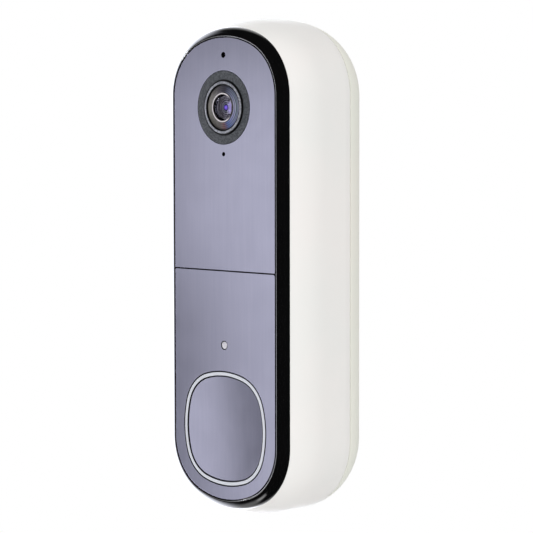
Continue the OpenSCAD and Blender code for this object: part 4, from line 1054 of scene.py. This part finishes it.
# %% Light baffles in the barrel
BAFFLE_GAP = 0.08
baffle_sizes = {"Rings": 3, "First radius": 2.8, "Radius step": 0.36, "Depth step": 0.14 * MM,
                "Wire": 0.045 * MM}
tree, size = new_tree("baffles", **baffle_sizes)
way = arrow(tree, Z=worked_out(tree, "MULTIPLY", size["Depth step"], -1.0))
line = step(tree, "GeometryNodeMeshLine", {"Count": size["Rings"], "Offset": way})
hoop = step(tree, "GeometryNodeCurvePrimitiveCircle", {"Resolution": 96, "Radius": MM})
wire = step(tree, "GeometryNodeCurvePrimitiveCircle", {"Resolution": 8, "Radius": size["Wire"]})
ring = step(tree, "GeometryNodeCurveToMesh",
            {"Curve": hoop.outputs["Curve"], "Profile Curve": wire.outputs["Curve"]})
number = step(tree, "GeometryNodeInputIndex")
shrink = worked_out(tree, "MULTIPLY", number.outputs["Index"], size["Radius step"])
scale = worked_out(tree, "SUBTRACT", size["First radius"], shrink)
rings = step(tree, "GeometryNodeInstanceOnPoints",
             {"Points": line.outputs["Mesh"], "Instance": ring.outputs["Mesh"],
              "Scale": arrow(tree, X=scale, Y=scale, Z=1.0)})
baffles = grown("barrel_baffles", tree, rings.outputs["Instances"], baffle_sizes, baffle_lit_edge_grey,
                on_lens_axis(lens_back - BAFFLE_GAP))

# %% [markdown]
# ## Mesh over the speaker
# A woven mesh behind the sound slots keeps dust out of the speaker. The rule starts from a
# grid, drops the corners, lifts every second crossing and lowers the others, and turns each
# edge of the grid into a thread. The wave between the crossings is what makes it look woven.

# %% Mesh over the speaker
MESH_MARGIN = 0.2 * MM
mesh_low, mesh_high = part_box("speaker_mesh")
mesh_sizes = {"Threads across": 45, "Threads along": 33,
              "Width": mesh_high.x - mesh_low.x - MESH_MARGIN,
              "Length": mesh_high.y - mesh_low.y - MESH_MARGIN, "Corner": 1.5 * MM,
              "Wave": 0.06 * MM, "Thread": 0.07 * MM}
tree, size = new_tree("woven mesh", **mesh_sizes)
grid = step(tree, "GeometryNodeMeshGrid",
            {"Size X": size["Width"], "Size Y": size["Length"],
             "Vertices X": size["Threads across"], "Vertices Y": size["Threads along"]})
number = step(tree, "GeometryNodeInputIndex")
odd = worked_out(tree, "FLOORED_MODULO", number.outputs["Index"], 2.0)
lift = worked_out(tree, "MULTIPLY", worked_out(tree, "SUBTRACT", odd, 0.5), size["Wave"])
waved = step(tree, "GeometryNodeSetPosition",
             {"Geometry": grid.outputs["Mesh"], "Offset": arrow(tree, Z=lift)})
where = step(tree, "GeometryNodeInputPosition")
from_middle = step(tree, "ShaderNodeVectorMath", {0: where.outputs["Position"]}, operation="ABSOLUTE")
spot = step(tree, "ShaderNodeSeparateXYZ", {"Vector": from_middle.outputs["Vector"]})


def past_corner(side, extent):
    """How far a point lies past the centre of the corner's round, along one side."""
    start = worked_out(tree, "SUBTRACT", worked_out(tree, "MULTIPLY", extent, 0.5), size["Corner"])
    past = worked_out(tree, "SUBTRACT", spot.outputs[side], start)
    return worked_out(tree, "MAXIMUM", past, 0.0)


corner_way = arrow(tree, X=past_corner("X", size["Width"]), Y=past_corner("Y", size["Length"]))
corner_reach = step(tree, "ShaderNodeVectorMath", {0: corner_way}, operation="LENGTH")
outside = step(tree, "FunctionNodeCompare", {"A": corner_reach.outputs["Value"], "B": size["Corner"]},
               operation="GREATER_THAN")
trimmed = step(tree, "GeometryNodeDeleteGeometry",
               {"Geometry": waved.outputs["Geometry"], "Selection": outside.outputs["Result"]})
lines = step(tree, "GeometryNodeMeshToCurve", {"Mesh": trimmed.outputs["Geometry"]})
round_thread = step(tree, "GeometryNodeCurvePrimitiveCircle",
                    {"Resolution": 5, "Radius": size["Thread"]})
threads = step(tree, "GeometryNodeCurveToMesh",
               {"Curve": lines.outputs["Curve"], "Profile Curve": round_thread.outputs["Curve"],
                "Fill Caps": True})
woven = grown("speaker_mesh_woven", tree, threads.outputs["Mesh"], mesh_sizes, silicone,
              Matrix.Translation(middle("speaker_mesh")))
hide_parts("speaker_mesh")

# %% [markdown]
# ## Spring of the latch
# The latch is pushed back by a small compression spring. Its rule is a spiral curve with a
# round wire swept along it. One end stays at the roof of the pocket while the latch moves the
# other.

# %% Spring of the latch
spring_low, spring_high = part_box("latch_spring")
WIRE = 0.2 * MM
spring_tall = spring_high.z - spring_low.z
spring_sizes = {"Turns": 5.0, "Radius": (spring_high.x - spring_low.x) / 2 - WIRE,
                "Height": spring_tall - 2 * WIRE, "Wire": WIRE}
tree, size = new_tree("compression spring", **spring_sizes)
coil = step(tree, "GeometryNodeCurveSpiral",
            {"Resolution": 28, "Rotations": size["Turns"], "Start Radius": size["Radius"],
             "End Radius": size["Radius"], "Height": size["Height"]})
wire = step(tree, "GeometryNodeCurvePrimitiveCircle", {"Resolution": 10, "Radius": size["Wire"]})
swept = step(tree, "GeometryNodeCurveToMesh",
             {"Curve": coil.outputs["Curve"], "Profile Curve": wire.outputs["Curve"],
              "Fill Caps": True})
spring_middle = middle("latch_spring")
spring = grown("latch_spring_wound", tree, swept.outputs["Mesh"], spring_sizes, spring_steel,
               Matrix.Translation((spring_middle.x, spring_middle.y, spring_low.z + WIRE)))
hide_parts("latch_spring")
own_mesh(spring)
